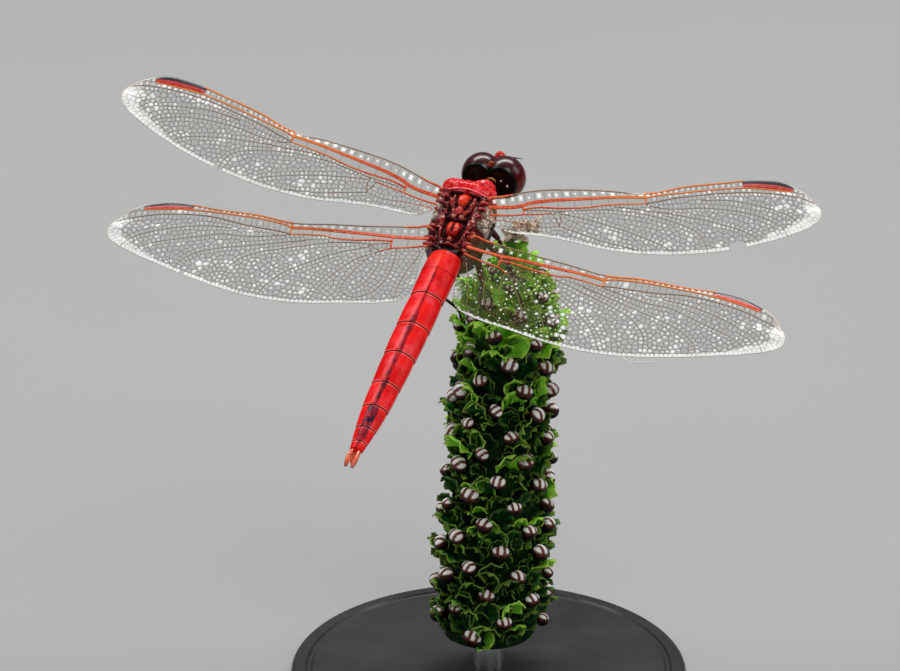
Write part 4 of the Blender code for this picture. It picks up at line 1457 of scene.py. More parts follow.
def ladder(front, rear, start, end, step, dice):
    """A row of cells between two lines."""
    count = max(1, round((end - start) / step))
    rungs = [start + (end - start) * k / count for k in range(count + 1)]
    rungs[1:-1] = [r + dice.uniform(-0.12, 0.12) * step for r in rungs[1:-1]]
    cells = []
    for a, b in zip(rungs, rungs[1:]):
        fore = on_line(front, (a, (a + b) / 2, b))
        hind = on_line(rear, (b, (a + b) / 2, a))
        cells.append(fore + [point for point in hind if point not in fore])
    return cells


def all_ladders(wing, outline, front_glint, dice):
    """The wing's lines, and the boxes of its ladders, each with the strength of its painted glint."""
    named = ("subcosta", "cubitus", "radius_sector", "radius", "branch")
    lines = {key: smooth_line(wing[key]) for key in named}
    lead = outline[np.argsort(outline[:, 0])]
    middle = (wing["outline"][0][1] + wing["outline"][-1][1]) / 2
    ahead = lead[:, 1] < back_at(lines["branch"], lead[:, 0]) + 0.02
    lines["lead"] = lead[(lead[:, 1] < middle) & ahead]
    node, arch = wing["nodus"], wing["arculus"]
    stigma_start, stigma_end = wing["stigma"]
    radius_end, tip = lines["radius"][-1][0], lines["branch"][-1][0]
    # Each row: its front and rear lines, where it starts and ends, its step, and how strong the
    # painted glint of its cells is.
    rows = [
        ("lead", "subcosta", -0.3, node, 1.15, front_glint),
        ("subcosta", "cubitus", -0.3, arch, 2.2, -1),
        ("subcosta", "radius_sector", arch, node, 2.4, -1),
        ("lead", "radius", node, stigma_start, 0.75, 0.8),
        ("lead", "radius", stigma_end, radius_end, 0.6, 0.3),
        ("radius", "branch", node, radius_end, 0.75, 0.0),
        ("lead", "branch", radius_end, tip, 0.6, 0.3),
    ]
    cells = []
    for front, rear, start, end, step, glint in rows:
        row = ladder(lines[front], lines[rear], start, end, step, dice)
        cells += [(cell, glint) for cell in row]
    return lines, cells


print("ladder tools ready")

# %% [markdown]
# Each cell of skin is a low dome, so that it catches the light in its middle: its corners are joined
# to a lifted centre. Three numbers are kept for the finish: "dome", 0 at the rim and 1 in the middle,
# where the finish also paints a white glint; "shine", how bright the painted glint of a cell is; and
# "frost", how near a corner lies to the whitish hind edge.
# Solidify then gives the skin its thickness. The veins round the cells are the same polygons again,
# with a Wireframe modifier.

# %% Wing skin and net
def relief(along, back):
    """How the wing's pleats lift it, in millimetres."""
    pleat = 0.12 * math.cos(2 * math.pi * (back + 0.02 * along) / 2.6)
    pleat *= math.exp(-max(0.0, back) / 4)
    return pleat + 0.08 * math.sin(0.45 * along + 0.7 * back) * min(1.0, along / 8)


def wing_place(side, root, angles):
    """The matrix that carries a wing's plane into the model."""
    sweep, rise, twist = angles
    turn = turned(-side * sweep, "Z") @ turned(-side * rise, "Y") @ turned(-twist, "X")
    return BODY @ shifted(*root) @ turn


def mesh_from(name, points, faces):
    """An object from corners in the wing's plane."""
    mesh = bpy.data.meshes.new(name)
    mesh.from_pydata(points, [], faces)
    return in_scene(name, mesh)


def glint_of(middle, glint, dice):
    """How bright a cell's painted glint is: patchy over the wing, and stronger towards the tip."""
    along, back = abs(middle.x) / MM, middle.y / MM
    patch = noise.noise(Vector((along * 0.3, back * 0.45, glint * 9)))
    rear = min(1.0, max(0.0, back / 6)) if along < 29 else 0.35
    tip = max(0.0, (along - 31) / 10)
    heel = max(0.0, 1 - along / 14) * min(1.0, max(0.0, back / 3))
    bright = 1.1 * dice.random() ** 1.5 + 0.4 * patch + 0.4 * tip + 0.3 * rear
    bright += glint - 0.2 - 0.55 * heel
    return min(bright, 0.95) if glint > 0 else bright


def cell_meshes(cells, side, frost_of, dice):
    """The domed skin of the cells, and their flat net."""
    corner_index, net_points, net_faces = {}, [], []
    skin_points, skin_faces, dome, shine, frost = [], [], [], [], []
    for cell, _ in cells:
        ring = []
        for along, back in cell:
            key = (round(along, 3), round(back, 3))
            if key not in corner_index:
                corner_index[key] = len(net_points)
                net_points.append(Vector((side * along, back, relief(along, back))) * MM)
                skin_points.append(net_points[-1])
                dome.append(0.0)
                frost.append(frost_of(along, back))
            ring.append(corner_index[key])
        net_faces.append([k for i, k in enumerate(ring) if k != ring[i - 1]])
    for (_, glint), face in zip(cells, net_faces):
        middle = sum((net_points[k] for k in face), Vector()) / len(face)
        wide = min((net_points[k] - middle).length for k in face)
        lift = wide * dice.uniform(0.05, 0.25)
        slide = Vector((dice.uniform(-0.25, 0.25), dice.uniform(-0.25, 0.25), 0)) * wide
        centre = len(skin_points)
        skin_points.append(middle + slide + Vector((0, 0, lift)))
        dome.append(1.0)
        frost.append(frost_of(side * middle.x / MM, middle.y / MM))
        # The strength of this cell's painted glint.
        painted_glint_level = glint_of(middle, glint, dice)
        for i, k in enumerate(face):
            skin_faces.append((face[i - 1], k, centre))
            shine.append(painted_glint_level)
    return (net_points, net_faces), (skin_points, skin_faces, dome, shine, frost)


print("wing tools ready")

# %% [markdown]
# ## Finish of the wings
# The skin is clear with a painted glint in each cell, a white spot that fills the brightest cells, and
# a whiter band along the hind edge. The alpha lets the ground show through, and the painted glint
# raises it. Veins are orange-red near the root and along the front, and brown in the net. The coloured
# cell near the tip is black in front and red behind.

# %% Wing finishes
film_finish = Finish("wing_film_painted_glints", specular_ior_level=0.2, coat_weight=0.15, coat_roughness=0.06)
dome, shine, frost = (film_finish.attribute(key) for key in ("dome", "shine", "frost"))
ripple = film_finish.noise(0.35, detail=3)
haze = film_finish.noise(3.5, detail=4)
# Painted glints: a white spot in the middle of each cell, and whole cells whitened where they are
# strongest.
strength = shine.rise(-0.2, 0.85)
painted_glint = (dome + shine * shine * 0.22).rise(0.68, 1.0) * strength
painted_cell_glare = shine.rise(0.8, 1.5) * (0.5 + dome * 0.3)
hem = (frost * (ripple * 2 - 0.1)).rise(0.05, 0.7) * 0.85
frost_and_painted_glint = (painted_glint + painted_cell_glare + hem).math("MINIMUM", 1.0)
film = film_finish.mix((0.09, 0.08, 0.015), (0.19, 0.19, 0.09), haze.rise(0.35, 0.65))
film_finish.set(base_color=film_finish.mix(film, (0.98, 0.99, 0.95), frost_and_painted_glint.rise(0.0, 0.35)))
film_finish.set(alpha=0.03 + ripple * 0.05 + haze * 0.05 + frost_and_painted_glint * 0.76, roughness=0.14 + ripple * 0.2)
film_finish.bump(ripple, 0.01, 0.4)


def vein_finish(name, near_colours, far_colour, start, end):
    """One colour near the thorax, changing into another between two distances in millimetres."""
    finish = Finish(name, coat_weight=0.4, coat_roughness=0.12)
    x, y, z = finish.within(BODY)
    away = (x * x + y * y + z * z) ** 0.5
    fine = finish.noise(0.3, detail=4)
    near = finish.mix(*near_colours, fine.rise(0.35, 0.65))
    finish.set(base_color=finish.mix(near, far_colour, (away + fine * 3).rise(start, end)))
    finish.set(roughness=0.32 + fine * 0.2)
    finish.bump(fine, 0.01, 0.5)
    return finish


FLAME = ((0.6, 0.03, 0.004), (0.88, 0.14, 0.01))
BARK = ((0.2, 0.1, 0.05), (0.34, 0.2, 0.1))
net_finish = vein_finish("vein_brown", FLAME, (0.08, 0.045, 0.015), 4, 8)
rib_finish = vein_finish("vein_orange", FLAME, (0.85, 0.22, 0.012), 14, 26)
faint_finish = vein_finish("vein_faint", FLAME, (0.24, 0.13, 0.05), 5, 11)
pale_finish = vein_finish("vein_pale", BARK, (0.95, 0.8, 0.72), 22.5, 25)
mark_finish = Finish("stigma_red", coat_weight=0.3, coat_roughness=0.2)
cloud = mark_finish.noise(0.5, detail=5)
front = mark_finish.attribute("front")
rose = mark_finish.mix((0.6, 0.012, 0.012), (0.86, 0.1, 0.08), cloud.rise(0.3, 0.7))
rose = mark_finish.mix(rose, (0.01, 0.009, 0.02), (front + cloud * 0.2).rise(0.52, 0.66))
mark_finish.set(base_color=rose, roughness=0.35 + cloud * 0.2)
mark_finish.bump(mark_finish.noise(0.15) + cloud, 0.02, 0.5)
print("wing finishes ready")

# %% [markdown]
# ## Four wings
# Each wing is grown from its own seeds, so no two are quite alike, as in life. Cells inside a tear
# are left out. The strong veins are laid on top as tapering round ribs, and so are the thin front
# edge, the white edge round the tip and, on one wing, a loose shred.

# %% Ribs and the coloured cell
def rib(points, side, thick_start, thick_end):
    """A vein as a tapering round rod on the wing's plane, with its thickness at both ends."""
    line = smooth_line(points, 0.45)
    data = bpy.data.curves.new("rib", "CURVE")
    data.dimensions = "3D"
    data.bevel_depth = 1.0
    data.bevel_resolution = 1
    data.use_fill_caps = True
    spline = data.splines.new("POLY")
    spline.points.add(len(line) - 1)
    for k, (target, (along, back)) in enumerate(zip(spline.points, line)):
        share = k / (len(line) - 1)
        target.co = (side * along * MM, back * MM, relief(along, back) * MM, 1)
        target.radius = (thick_start + (thick_end - thick_start) * share) / 2 * MM
    return as_mesh(in_scene("rib", data))


def stigma(lines, start, end, side):
    """The thick coloured cell near the tip, as a flat lens with a dark front."""
    rings = []
    for t in np.linspace(start, end, 24):
        near = float(back_at(lines["lead"], t)) + 0.02
        far = float(back_at(lines["radius"], t)) - 0.02
        taper = min(1.0, (t - start + 0.12) / 0.5, (end - t + 0.12) / 0.5)
        middle, half = (near + far) / 2, (far - near) / 2 * (0.75 + 0.25 * taper)
        high = 0.16 * taper
        ring = []
        for angle in all_round(12):
            back = middle - half * math.cos(angle)
            ring.append(Vector((side * t, back, relief(t, back) + high * math.sin(angle))) * MM)
        rings.append(ring)
    obj = drawn_out("stigma", rings)
    shares = []
    for vert in obj.data.vertices:
        t = side * vert.co.x / MM
        near, far = (float(back_at(lines[key], t)) for key in ("lead", "radius"))
        shares.append(1 - (vert.co.y / MM - near) / (far - near))
    keep_on(obj, "front", shares)
    return obj


print("rib tools ready")

# %% [markdown]
# The strong veins are thickest at the front edge and at the root. Two of them run side by side from
# the root to the notch in the front edge, and short cross bars tie the veins together.

# %% Which veins are ribs
EDGE_INSET = 0.05
TIP_REAR = 12  # the corner of both outlines where the white edge round the tip ends


def edge_run(lines, start, end):
    """A stretch of the wing's front edge, a little inside it."""
    places = np.linspace(start, end, 16)
    return [(along, back + EDGE_INSET) for along, back in on_line(lines["lead"], places)]


def strong_ribs(wing, lines, side):
    """The orange veins near the front edge."""
    node, arch = wing["nodus"], wing["arculus"]
    stigma_start, stigma_end = wing["stigma"]
    courses = [
        (edge_run(lines, -0.4, 2.8), 0.36, 0.24),
        (edge_run(lines, node, stigma_start + 0.2), 0.28, 0.24),
        ([(a, b - 0.11) for a, b in wing["subcosta"]], 0.28, 0.2),
        ([(a, b + 0.11) for a, b in wing["subcosta"]], 0.32, 0.24),
        (wing["cubitus"], 0.3, 0.16),
        (wing["radius_sector"], 0.28, 0.2),
        ([p for p in wing["radius"] if p[0] < stigma_end], 0.26, 0.2),
    ]
    for at, front, rear in ((node, "lead", "radius_sector"), (arch, "subcosta", "cubitus")):
        cross = on_line(lines[front], [at]) + on_line(lines[rear], [at])
        courses.append((cross, 0.26, 0.2))
    return [rib(points, side, start, end) for points, start, end in courses]


def pale_ribs(wing, lines, outline, side, shred):
    """The thin edge as far as the nodus, the white edge round the tip, and a loose shred."""
    tip_start, tip_rear = wing["stigma"][1], wing["outline"][TIP_REAR][1]
    around_tip = [tuple(p) for p in outline if p[0] > tip_start and p[1] < tip_rear]
    ribs = [rib(edge_run(lines, 2.6, wing["nodus"]), side, 0.19, 0.16)]
    ribs.append(rib(around_tip, side, 0.2, 0.12))
    if shred:
        ribs.append(rib(shred, side, 0.13, 0.06))
    return ribs


def fine_ribs(wing, side):
    """The thin veins behind the strong ones, and the small triangle."""
    corners = wing["triangle"]
    ribs = [rib(line, side, 0.11, 0.08) for line in wing["inner"].values()]
    ribs.append(rib(wing["branch"], side, 0.18, 0.12))
    return ribs + [rib([a, b], side, 0.12, 0.12) for a, b in zip(corners, corners[1:] + corners[:1])]


print("rib courses ready")

# %% [markdown]
# A wing is now built in order: seeds, ladders, cells without the torn ones, clear skin, net, and the
# ribs over them. Each layer is a piece of its own, because each has a finish of its own.

# %% Building each wing
def torn(cell, along, back, wide, deep):
    """Whether a cell lies in a tear, which is an oval reaching in from the hind edge."""
    middle = np.mean(cell, axis=0)
    return ((middle[0] - along) / wide) ** 2 + ((middle[1] - back) / deep) ** 2 < 1


def frosting(wing, outline, branch):
    """A measure of how whitish the skin is at a place: along the hind edge and on the flap."""
    tree = distance_tree(outline[outline[:, 1] > back_at(branch, outline[:, 0]) + 0.2])
    flap_along, flap_back, flap_reach = wing["flap"]

    def frost_of(along, back):
        """From 0 for clear to 1 for white."""
        near = tree.find((along, back, 0))[2]
        reach = 0.4 + 0.012 * along + max(0.0, along - 34) * 0.25
        hem = max(0.0, 1 - near / reach) * min(1.0, along / 3)
        flap = 1 - math.hypot(along - flap_along, back - flap_back) / flap_reach
        return max(hem, 0.35 * flap, 0.0)

    return frost_of


def build_wing(name, wing, side, root, angles, tears, front_glint, shred, seed):
    """All the pieces of one wing."""
    dice = random.Random(seed)
    place = wing_place(side, root, angles)
    outline, seeds, ghosts = grow_seeds(wing, dice)
    lines, rows = all_ladders(wing, outline, front_glint, dice)
    cells = [(cell, 0.0) for cell in voronoi_cells(seeds, ghosts)] + rows
    cells = [pair for pair in cells if not any(torn(pair[0], *tear) for tear in tears)]
    frost_of = frosting(wing, outline, lines["branch"])
    net_mesh, (points, faces, dome, shine, frost) = cell_meshes(cells, side, frost_of, dice)
    sheet = mesh_from("skin", points, faces)
    keep_on(sheet, "dome", dome)
    keep_on(sheet, "shine", shine, "FACE")
    keep_on(sheet, "frost", frost)
    modified(facing_out(sheet), "SOLIDIFY", thickness=0.03 * MM, offset=0)
    piece(settled(sheet, place), name + "_membrane", film_finish, "wing_membrane", name)
    net = facing_out(mesh_from("net", *net_mesh))
    modified(net, "WIREFRAME", thickness=0.06 * MM, use_even_offset=False, use_boundary=True)
    strong = joined(strong_ribs(wing, lines, side), "strong")
    pale = joined(pale_ribs(wing, lines, outline, side, shred), "pale")
    faint = joined(fine_ribs(wing, side), "faint")
    mark = stigma(lines, *wing["stigma"], side)
    layers = (
        (facing_out(net), "net", net_finish, "wing_membrane"),
        (strong, "ribs", rib_finish, "chitin_red"),
        (pale, "edge", pale_finish, "wing_membrane"),
        (faint, "veins", faint_finish, "wing_membrane"),
        (facing_out(mark), "stigma", mark_finish, "chitin_red"),
    )
    for layer, ending, finish, slot in layers:
        piece(settled(layer, place), f"{name}_{ending}", finish, slot)
    print(name, "cells:", len(cells))


for seed, (name, spec) in enumerate(WINGS.items(), 1):
    build_wing(name, *spec, seed)

# %% [markdown]
# ## The flower spike
# The spike's stem is hidden by small crinkled leaves, and from between them stand brown seed heads
# with pale bands between darker lines on top, a painted highlight from above, and undersides painted
# near black as shade. The stem is drawn out of rings, the leaf and the seed head are each modelled
# once, and copies of them are turned outwards all round the stem.

# %% Stem
STEM_SIDES = 28
dice = random.Random(11)
rings = []
for depth in np.concatenate([[0.02, 0.4], np.linspace(1.2, SPIKE_LENGTH / MM - 0.1, 60)]):
    ring = []
    for angle in all_round(STEM_SIDES):
        lump = 0.22 * noise.noise(Vector((math.cos(angle) * 4, math.sin(angle) * 4, depth * 0.8)))
        ring.append(on_spike(angle, depth, stem_radius(depth) * 0.9 + lump))
    rings.append(ring)
stem = drawn_out("stem", rings)
stem_green = Finish("stem_green", specular_ior_level=0.08)
cloud = stem_green.noise(1.2, detail=6)
fine = stem_green.noise(0.25, detail=4)
_, _, z = stem_green.within(FROM_TIP)
# Painted shade: the stem is near black green, as deep shade among the leaves; near the tip it is young
# green.
green = stem_green.mix((0.002, 0.008, 0.002), (0.01, 0.045, 0.005), cloud.rise(0.35, 0.7))
young = stem_green.mix((0.05, 0.2, 0.015), (0.28, 0.52, 0.05), cloud.rise(0.35, 0.7))
stem_green.set(base_color=stem_green.mix(green, young, z.rise(-15, -8)))
stem_green.set(roughness=0.6 + fine * 0.2)
stem_green.bump(cloud + fine * 0.5, 0.12, 0.7)
piece(stem, "spike_stem", stem_green, "plant_green", "perch_spike")

# %% [markdown]
# One leaf: a small grid, pulled to a rounded tip, cupped along its length and ruffled at its edge.
# "rim" is kept on its corners, because the edges are paler than the middle. Copies get their own mesh
# and their own "tone", so that no two leaves look quite alike.

# %% One leaf and its copies
def leaf_master():
    """The leaf that all others are copied from."""
    nothing_selected()
    bpy.ops.mesh.primitive_grid_add(x_subdivisions=5, y_subdivisions=6, size=2)
    obj = bpy.context.active_object
    rims = []
    for vert in obj.data.vertices:
        u, v = vert.co.x, (vert.co.y + 1) / 2
        wide = 1.15 * math.sin(math.pi * (0.18 + 0.74 * v)) ** 0.6
        notch = 0.16 * math.sin(9 * u + 1) * v**3
        ruffle = 0.42 * math.sin(9 * v + 3 * u) * abs(u) ** 2 + 0.18 * math.sin(5 * u) * v
        vert.co = Vector((u * wide, v * 2.5 + notch, 0.5 * u * u + ruffle + 0.8 * v**2)) * MM
        rims.append(max(abs(u) ** 3, v**4))
    keep_on(obj, "rim", rims)
    return modified(obj, "SOLIDIFY", thickness=0.09 * MM, offset=0)


def scattered(master, places, name):
    """Copies of a master, each with its own mesh and its own tone, joined into one piece."""
    copies = []
    for tone, place in places:
        copy = in_scene("copy", master.data.copy())
        copy.data.transform(place)
        keep_on(copy, "tone", [tone] * len(copy.data.vertices))
        copies.append(copy)
    bpy.data.objects.remove(master)
    return joined(copies, name)


def facing(point, outward, along, spin=0.0, scale=1.0):
    """A frame at a point: Z outwards, Y as near to along as it can be."""
    z = outward.normalized()
    x = along.cross(z).normalized()
    y = z.cross(x)
    turn = Matrix((x, y, z)).transposed().to_4x4()
    return Matrix.Translation(point) @ turn @ turned(spin, "Z") @ Matrix.Scale(scale, 4)


def near_leg(point, reach):
    """Whether a point lies closer to a shin or a foot than a reach in millimetres."""
    for line in leg_lines:
        for a, b in zip(line, line[1:]):
            share = min(1.0, max(0.0, (point - a).dot(b - a) / (b - a).length_squared))
            if (point - a.lerp(b, share)).length < reach * MM:
                return True
    return False


print("legs to keep clear of:", len(leg_lines))

# %% [markdown]
# The leaves go round the stem in the same spiral as the flowers, from the tip down. Leaves near the
# tip are young and bright, and where a shin or a foot stands there is no leaf. The green is near black
# in cloudy patches, yellower on the young leaves and palest at the rims.

# %% Leaves
LEAVES = 640
LEAF_ROOM = 1.8
YOUNG_DEPTH = 12
leaves = []
for i in range(LEAVES):
    depth = 0.5 + (SPIKE_LENGTH / MM - 2.2) * ((i + 0.5) / LEAVES)
    angle = i * FLOWER_TURN + 0.5 + dice.uniform(-0.3, 0.3)
    out = away_at(angle)
    outward = (out - SPIKE_LEAN * dice.uniform(-0.1, 0.8)).normalized()
    scale = min(1.0, 0.5 + stem_radius(depth) * 0.11) * dice.choice((0.7, 0.85, 1.0, 1.2, 1.5))
    base = on_spike(angle, depth + 1.0 * scale, stem_radius(depth) * dice.uniform(0.8, 0.9))
    young = 1.0 if depth < YOUNG_DEPTH + dice.uniform(-3, 3) else 0.0
    tone = max(young * dice.uniform(0.7, 1.0), dice.random() ** 2.2)
    place = facing(base, outward, SPIKE_LEAN + out * 0.25, dice.uniform(-60, 60), scale)
    if not near_leg(place @ Vector((0, 1.2 * MM, 0.6 * MM)), LEAF_ROOM):
        leaves.append((tone, place))
foliage = scattered(leaf_master(), leaves, "leaves")
leaf_green = Finish("leaf_green", specular_ior_level=0.15, coat_weight=0.1, coat_roughness=0.25)
rim, tone = leaf_green.attribute("rim"), leaf_green.attribute("tone")
cloud = leaf_green.noise(0.8, detail=5)
fine = leaf_green.noise(0.2, detail=3)
_, _, z = leaf_green.within(FROM_TIP)
green = leaf_green.painted(
    leaf_green.mix((0.0005, 0.012, 0.002), (0.005, 0.12, 0.01), cloud.rise(0.38, 0.72)),
    ((0.24, 0.72, 0.03), (tone + cloud * 0.3).rise(0.55, 1.05)),
    ((0.36, 0.8, 0.06), z.rise(-15, -7) * cloud.rise(0.3, 0.6) * 0.7),
    ((0.6, 0.92, 0.13), (rim + fine * 0.4 - 0.2).rise(0.45, 1.0) * (0.08 + tone * 0.7)),
)
leaf_green.set(base_color=green, roughness=0.4 + fine * 0.25)
leaf_green.bump(fine + cloud, 0.08, 0.7)
piece(foliage, "spike_leaves", leaf_green, "plant_green")

# %% [markdown]
# One seed head: a squat egg with three ribs over its top. "crown" says how high on it a corner lies
# and "rib" how near to the top of a rib. From the two the finish paints the white bands, a painted
# highlight from above, and from "crown" it darkens the underside to near black as painted shade.

# %% Seed heads
def seed_master():
    """The seed head that all others are copied from."""
    obj = ball((0, 0, 0), (1, 1, 1), segments=20, rings=10)
    crowns, ribs = [], []
    for vert in obj.data.vertices:
        point = vert.co / MM
        lobe = math.cos(point.x * math.pi * 2.6)
        crowns.append(point.z * 0.5 + 0.5)
        ribs.append(lobe * 0.5 + 0.5)
        swell = 1 + 0.07 * lobe * max(0.0, point.z)
        vert.co = Vector((point.x * 0.98, point.y * 0.8, point.z * 0.82)) * swell * MM
    keep_on(obj, "crown", crowns)
    keep_on(obj, "rib", ribs)
    return obj


NEAR_LEG = 2.2
heads = []
for angle, depth, centre in flowers[3:]:
    out = away_at(angle)
    small = min(1.28, 0.8 + depth * 0.05) * dice.uniform(0.75, 1.08)
    stand_off = 0.8 if near_leg(centre + out * 1.2 * MM, NEAR_LEG) else 1.9
    point = centre + out * (stand_off - 0.8 * small) * MM
    aside = SPIKE_LEAN.cross(out) * dice.uniform(-0.5, 0.5)
    up = (SPIKE_LEAN + out * dice.uniform(0.0, 0.7) + aside).normalized()
    heads.append((dice.random(), facing(point, up, out, dice.uniform(-40, 40), small)))
seeds_piece = scattered(seed_master(), heads, "seed_heads")
seed_brown = Finish("seed_brown", coat_weight=0.18, coat_roughness=0.1, specular_ior_level=0.05)
crown, rib_line, tone = (seed_brown.attribute(key) for key in ("crown", "rib", "tone"))
cloud = seed_brown.noise(0.5, detail=5)
fine = seed_brown.noise(0.12, detail=3)
# Painted highlight: pale bands on the upper ribs; below, the brown fades to near black as painted
# shade.
pale = (crown + fine * 0.12).rise(0.72, 0.82) * rib_line.rise(0.25, 0.6)
brown = seed_brown.painted(
    (0.004, 0.002, 0.002),
    ((0.13, 0.035, 0.018), (crown + cloud * 0.5).rise(0.65, 1.05)),
    ((1.0, 0.96, 0.92), pale * (0.75 + tone * 0.25)),
)
seed_brown.set(base_color=brown, roughness=0.3 + fine * 0.25)
seed_brown.bump(fine + cloud, 0.05, 0.6)
piece(seeds_piece, "spike_seed_heads", seed_brown, "bud_brown")

# %% [markdown]
# At the very tip hangs a cluster of dried flowers, pinkish brown and shrivelled. One withered bud is
# shaped from an egg whose skin is folded, and its copies are strewn along the cluster.

# %% Dried buds
def bud_master():
    """The withered bud that all others are copied from."""
    obj = ball((0, 0, 0), (0.45, 0.45, 0.95), segments=14, rings=9)
    for vert in obj.data.vertices:
        fold = 1 + 0.22 * math.sin(5 * math.atan2(vert.co.y, vert.co.x) + vert.co.z / MM * 2)
        vert.co.x *= fold
        vert.co.y *= fold
        vert.co.x += 0.18 * MM * math.sin(vert.co.z / MM * 2.2)
    return obj


BUDS = 40
CLUSTER_START = Vector((1.1, -0.2, 0.1))
CLUSTER_END = Vector((-2.6, -1.2, 2.2))
buds = []
for i in range(BUDS):
    share = (i + 0.5) / BUDS
    middle = CLUSTER_START.lerp(CLUSTER_END, share)
    way = Vector((dice.gauss(0, 1), dice.gauss(0, 1), dice.gauss(0, 1))).normalized()
    reach = 0.45 + 0.8 * math.sin(math.pi * (0.15 + 0.8 * share))
    point = SPIKE_TIP + (middle + way * reach * dice.uniform(0.5, 1)) * MM
    lean = (way + Vector((-0.3, 0, 0.6))).normalized()
    spot = facing(point, lean, lean.orthogonal(), dice.uniform(0, 180), dice.uniform(0.55, 0.98))
    buds.append((dice.random(), spot))
dried = scattered(bud_master(), buds, "dried")
bud_brown = Finish("bud_brown", coat_weight=0.15, coat_roughness=0.3, specular_ior_level=0.15)
tone = bud_brown.attribute("tone")
cloud = bud_brown.noise(0.45, detail=6)
fine = bud_brown.noise(0.1, detail=3)
brown = bud_brown.painted(
    (0.03, 0.005, 0.004),
    ((0.66, 0.24, 0.12), (cloud * 0.7 + tone * 0.35).rise(0.28, 0.62)),
    ((1.0, 0.82, 0.68), (cloud + tone * 0.35).rise(0.42, 0.64) * 0.95),
)
bud_brown.set(base_color=brown, roughness=0.5 + fine * 0.25)
bud_brown.bump(cloud + fine * 0.4, 0.1, 0.8)
piece(dried, "spike_dried_buds", bud_brown, "bud_brown", "perch_buds")

# %% [markdown]
# ## The stand
# A turned disc in satin black with a softly rounded edge and a shallow groove. It starts as a
# cylinder, and insets on its top cut the groove and raise the middle a little, as a lathe would.

# %% The disc
DISC_RADIUS = 26
DISC_HEIGHT = 4
# Insets of the top in turn, each by a width and a change of height, in millimetres.
DISC_STEPS = [(1.9, 0), (0.25, -0.25), (0.5, 0), (0.25, 0.25), (16, 0), (4.6, 0.12)]


def cylinder(radius, height, foot, sides):
    """An upright cylinder with its foot at a height, all in millimetres."""
    nothing_selected()
    place = (0, 0, (foot + height / 2) * MM)
    size = {"radius": radius * MM, "depth": height * MM}
    bpy.ops.mesh.primitive_cylinder_add(vertices=sides, location=place, **size)
    return bpy.context.active_object


base = cylinder(DISC_RADIUS, DISC_HEIGHT, 0, 128)
mesh = opened(base, "DESELECT")
for face in mesh.faces:
    face.select_set(face.normal.z > 0.9)
bmesh.update_edit_mesh(base.data)
for thickness, depth in DISC_STEPS:
    bpy.ops.mesh.inset(thickness=thickness * MM, depth=depth * MM)
bevelled(closed(base), 0.8, 5, 60)
lacquer = Finish("stand_lacquer", coat_weight=0.4, coat_roughness=0.18)
fine = lacquer.noise(0.4, detail=5)
broad = lacquer.noise(9, detail=4)
black = lacquer.mix((0.01, 0.01, 0.011), (0.026, 0.025, 0.025), broad.rise(0.3, 0.7))
lacquer.set(base_color=black, roughness=0.3 + fine * 0.16 + broad * 0.08)
lacquer.bump(fine, 0.01, 0.4)
piece(settled(base), "stand_base_disc", lacquer, "stand_black", "stand_base", angle=35)

# %% [markdown]
# The rod is a short steel pin that thickens towards a collar where it enters the disc. One cut marks
# the top of the collar, and all below the cut is scaled out. Noise squeezed along the rod gives the
# fine rings that turning leaves.

# %% The rod
ROD_RADIUS = 1.5
ROD_LENGTH = 5.2
ROD_FOOT = 3.9
COLLAR_TOP = 4.9
COLLAR_SCALE = 1.35
rod = cylinder(ROD_RADIUS, ROD_LENGTH, ROD_FOOT, 48)
mesh = opened(rod)
bpy.ops.mesh.bisect(plane_co=(0, 0, COLLAR_TOP * MM), plane_no=(0, 0, 1))
bpy.ops.mesh.select_all(action="DESELECT")
for vert in mesh.verts:
    height = vert.co.z / MM + ROD_FOOT + ROD_LENGTH / 2
    vert.select_set(height < COLLAR_TOP + 0.05)
mesh.select_flush(True)
bmesh.update_edit_mesh(rod.data)
bpy.ops.transform.resize(value=(COLLAR_SCALE, COLLAR_SCALE, 1))
bevelled(closed(rod), 0.12, 3, 35)
steel = Finish("stand_steel", metallic=1.0)
squeezed = steel.node("ShaderNodeMapping", None, {"Vector": steel.here(), "Scale": (1, 1, 30)})
lines = steel.noise(0.9, detail=5, at=squeezed)
spots = steel.noise(1.5, detail=4)
steel.set(base_color=steel.mix((0.42, 0.42, 0.43), (0.66, 0.66, 0.67), lines.rise(0.3, 0.7)))
steel.set(roughness=0.24 + lines * 0.16 + spots * 0.08)
steel.bump(lines, 0.006, 0.4)
piece(settled(rod), "stand_rod_pin", steel, "stand_steel", "stand_rod", angle=35)

# %% [markdown]
# ## The floor
# A plain pale sheet with a faint mottle, wide enough to fill the view. It is part of the stage.

# %% Floor
FLOOR_WIDTH = 8
nothing_selected()
bpy.ops.mesh.primitive_grid_add(x_subdivisions=8, y_subdivisions=8, size=FLOOR_WIDTH)
floor = bpy.context.active_object
floor.name = "floor"
paper = Finish("floor_paper", roughness=0.9, specular_ior_level=0.2)
mottle = paper.noise(140, detail=3)
paper.set(base_color=paper.mix((0.36, 0.36, 0.355), (0.39, 0.39, 0.385), mottle))
floor.data.materials.append(paper.material)
print("floor:", FLOOR_WIDTH, "m wide")

# %% [markdown]
# ## The camera
# The camera has a long lens and stands well back, so that near and far wings keep their true sizes.
# It aims a little beside the thorax. The view is set to Standard, which shows colours as painted.

# %% Camera
CAMERA_AZIMUTH = math.radians(199.1)
CAMERA_ELEVATION = math.radians(22)
CAMERA_DISTANCE = 600 * MM
AIM_LEFT = 1.1 * MM
AIM_DOWN = 14.11 * MM


def direction(azimuth, elevation):
    """The way from the insect towards a place that is seen at two angles, in radians."""
    flat = math.cos(elevation)
    return Vector((math.sin(azimuth) * flat, -math.cos(azimuth) * flat, math.sin(elevation)))


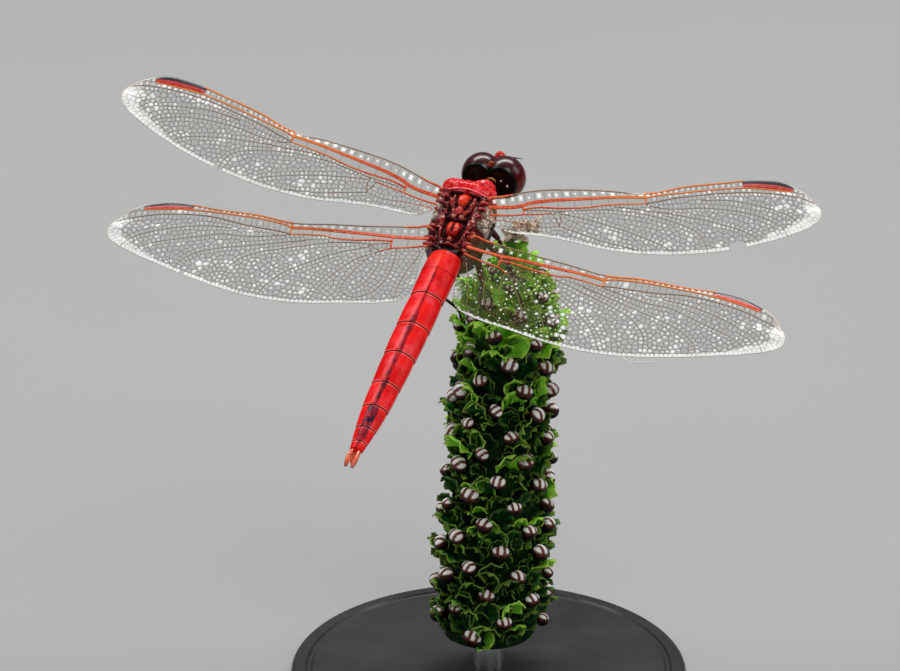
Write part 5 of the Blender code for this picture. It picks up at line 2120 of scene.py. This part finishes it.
sight = direction(CAMERA_AZIMUTH, CAMERA_ELEVATION)
right = Vector((math.cos(CAMERA_AZIMUTH), math.sin(CAMERA_AZIMUTH), 0))
up = sight.cross(right)
aim = BODY.translation - right * AIM_LEFT - up * AIM_DOWN
camera_data = bpy.data.cameras.new("camera")
camera_data.lens = 192.4
camera_data.sensor_width = 36
camera_data.clip_start = 0.01
camera = in_scene("camera", camera_data)
turn = Matrix((right, up, sight)).transposed().to_4x4()
camera.matrix_world = Matrix.Translation(aim + sight * CAMERA_DISTANCE) @ turn
bpy.context.scene.camera = camera
bpy.context.scene.view_settings.view_transform = "Standard"
print("camera", round(CAMERA_DISTANCE / MM), "mm away, lens", round(camera_data.lens, 1), "mm")

# %% [markdown]
# ## The lights
# The main light is a long narrow panel high up and behind the insect, so that it draws bright bands
# along the eyes, the collar and the veins. A fill from the camera's side keeps the colours clear,
# and two side lights pick out the edges. A faint bluish sky lifts the shadows.

# %% Lights
# Each panel: azimuth and height in degrees, distance, width and height in metres, and power.
PANELS = {
    "key": (22, 62, 0.7, (0.9, 0.1), 5.6),
    "fill": (215, 48, 0.9, (0.5, 0.4), 2.8),
    "left": (110, 35, 0.8, (0.3, 0.4), 1.0),
    "right": (288, 32, 0.8, (0.3, 0.4), 1.0),
}
SKY_COLOUR = (0.9, 0.93, 1.0, 1)
SKY_STRENGTH = 0.12
for name, (azimuth, elevation, distance, size, power) in PANELS.items():
    way = direction(math.radians(azimuth), math.radians(elevation))
    data = bpy.data.lights.new(name, "AREA")
    data.shape = "RECTANGLE"
    data.size, data.size_y = size
    data.energy = power
    lamp = in_scene(name, data)
    lamp.location = BODY.translation + way * distance
    lamp.rotation_euler = (-way).to_track_quat("-Z", "Y").to_euler()
world = bpy.data.worlds.new("studio")
world.use_nodes = True
sky = world.node_tree.nodes["Background"]
sky.inputs["Color"].default_value = SKY_COLOUR
sky.inputs["Strength"].default_value = SKY_STRENGTH
bpy.context.scene.world = world
print("lights:", len(PANELS))
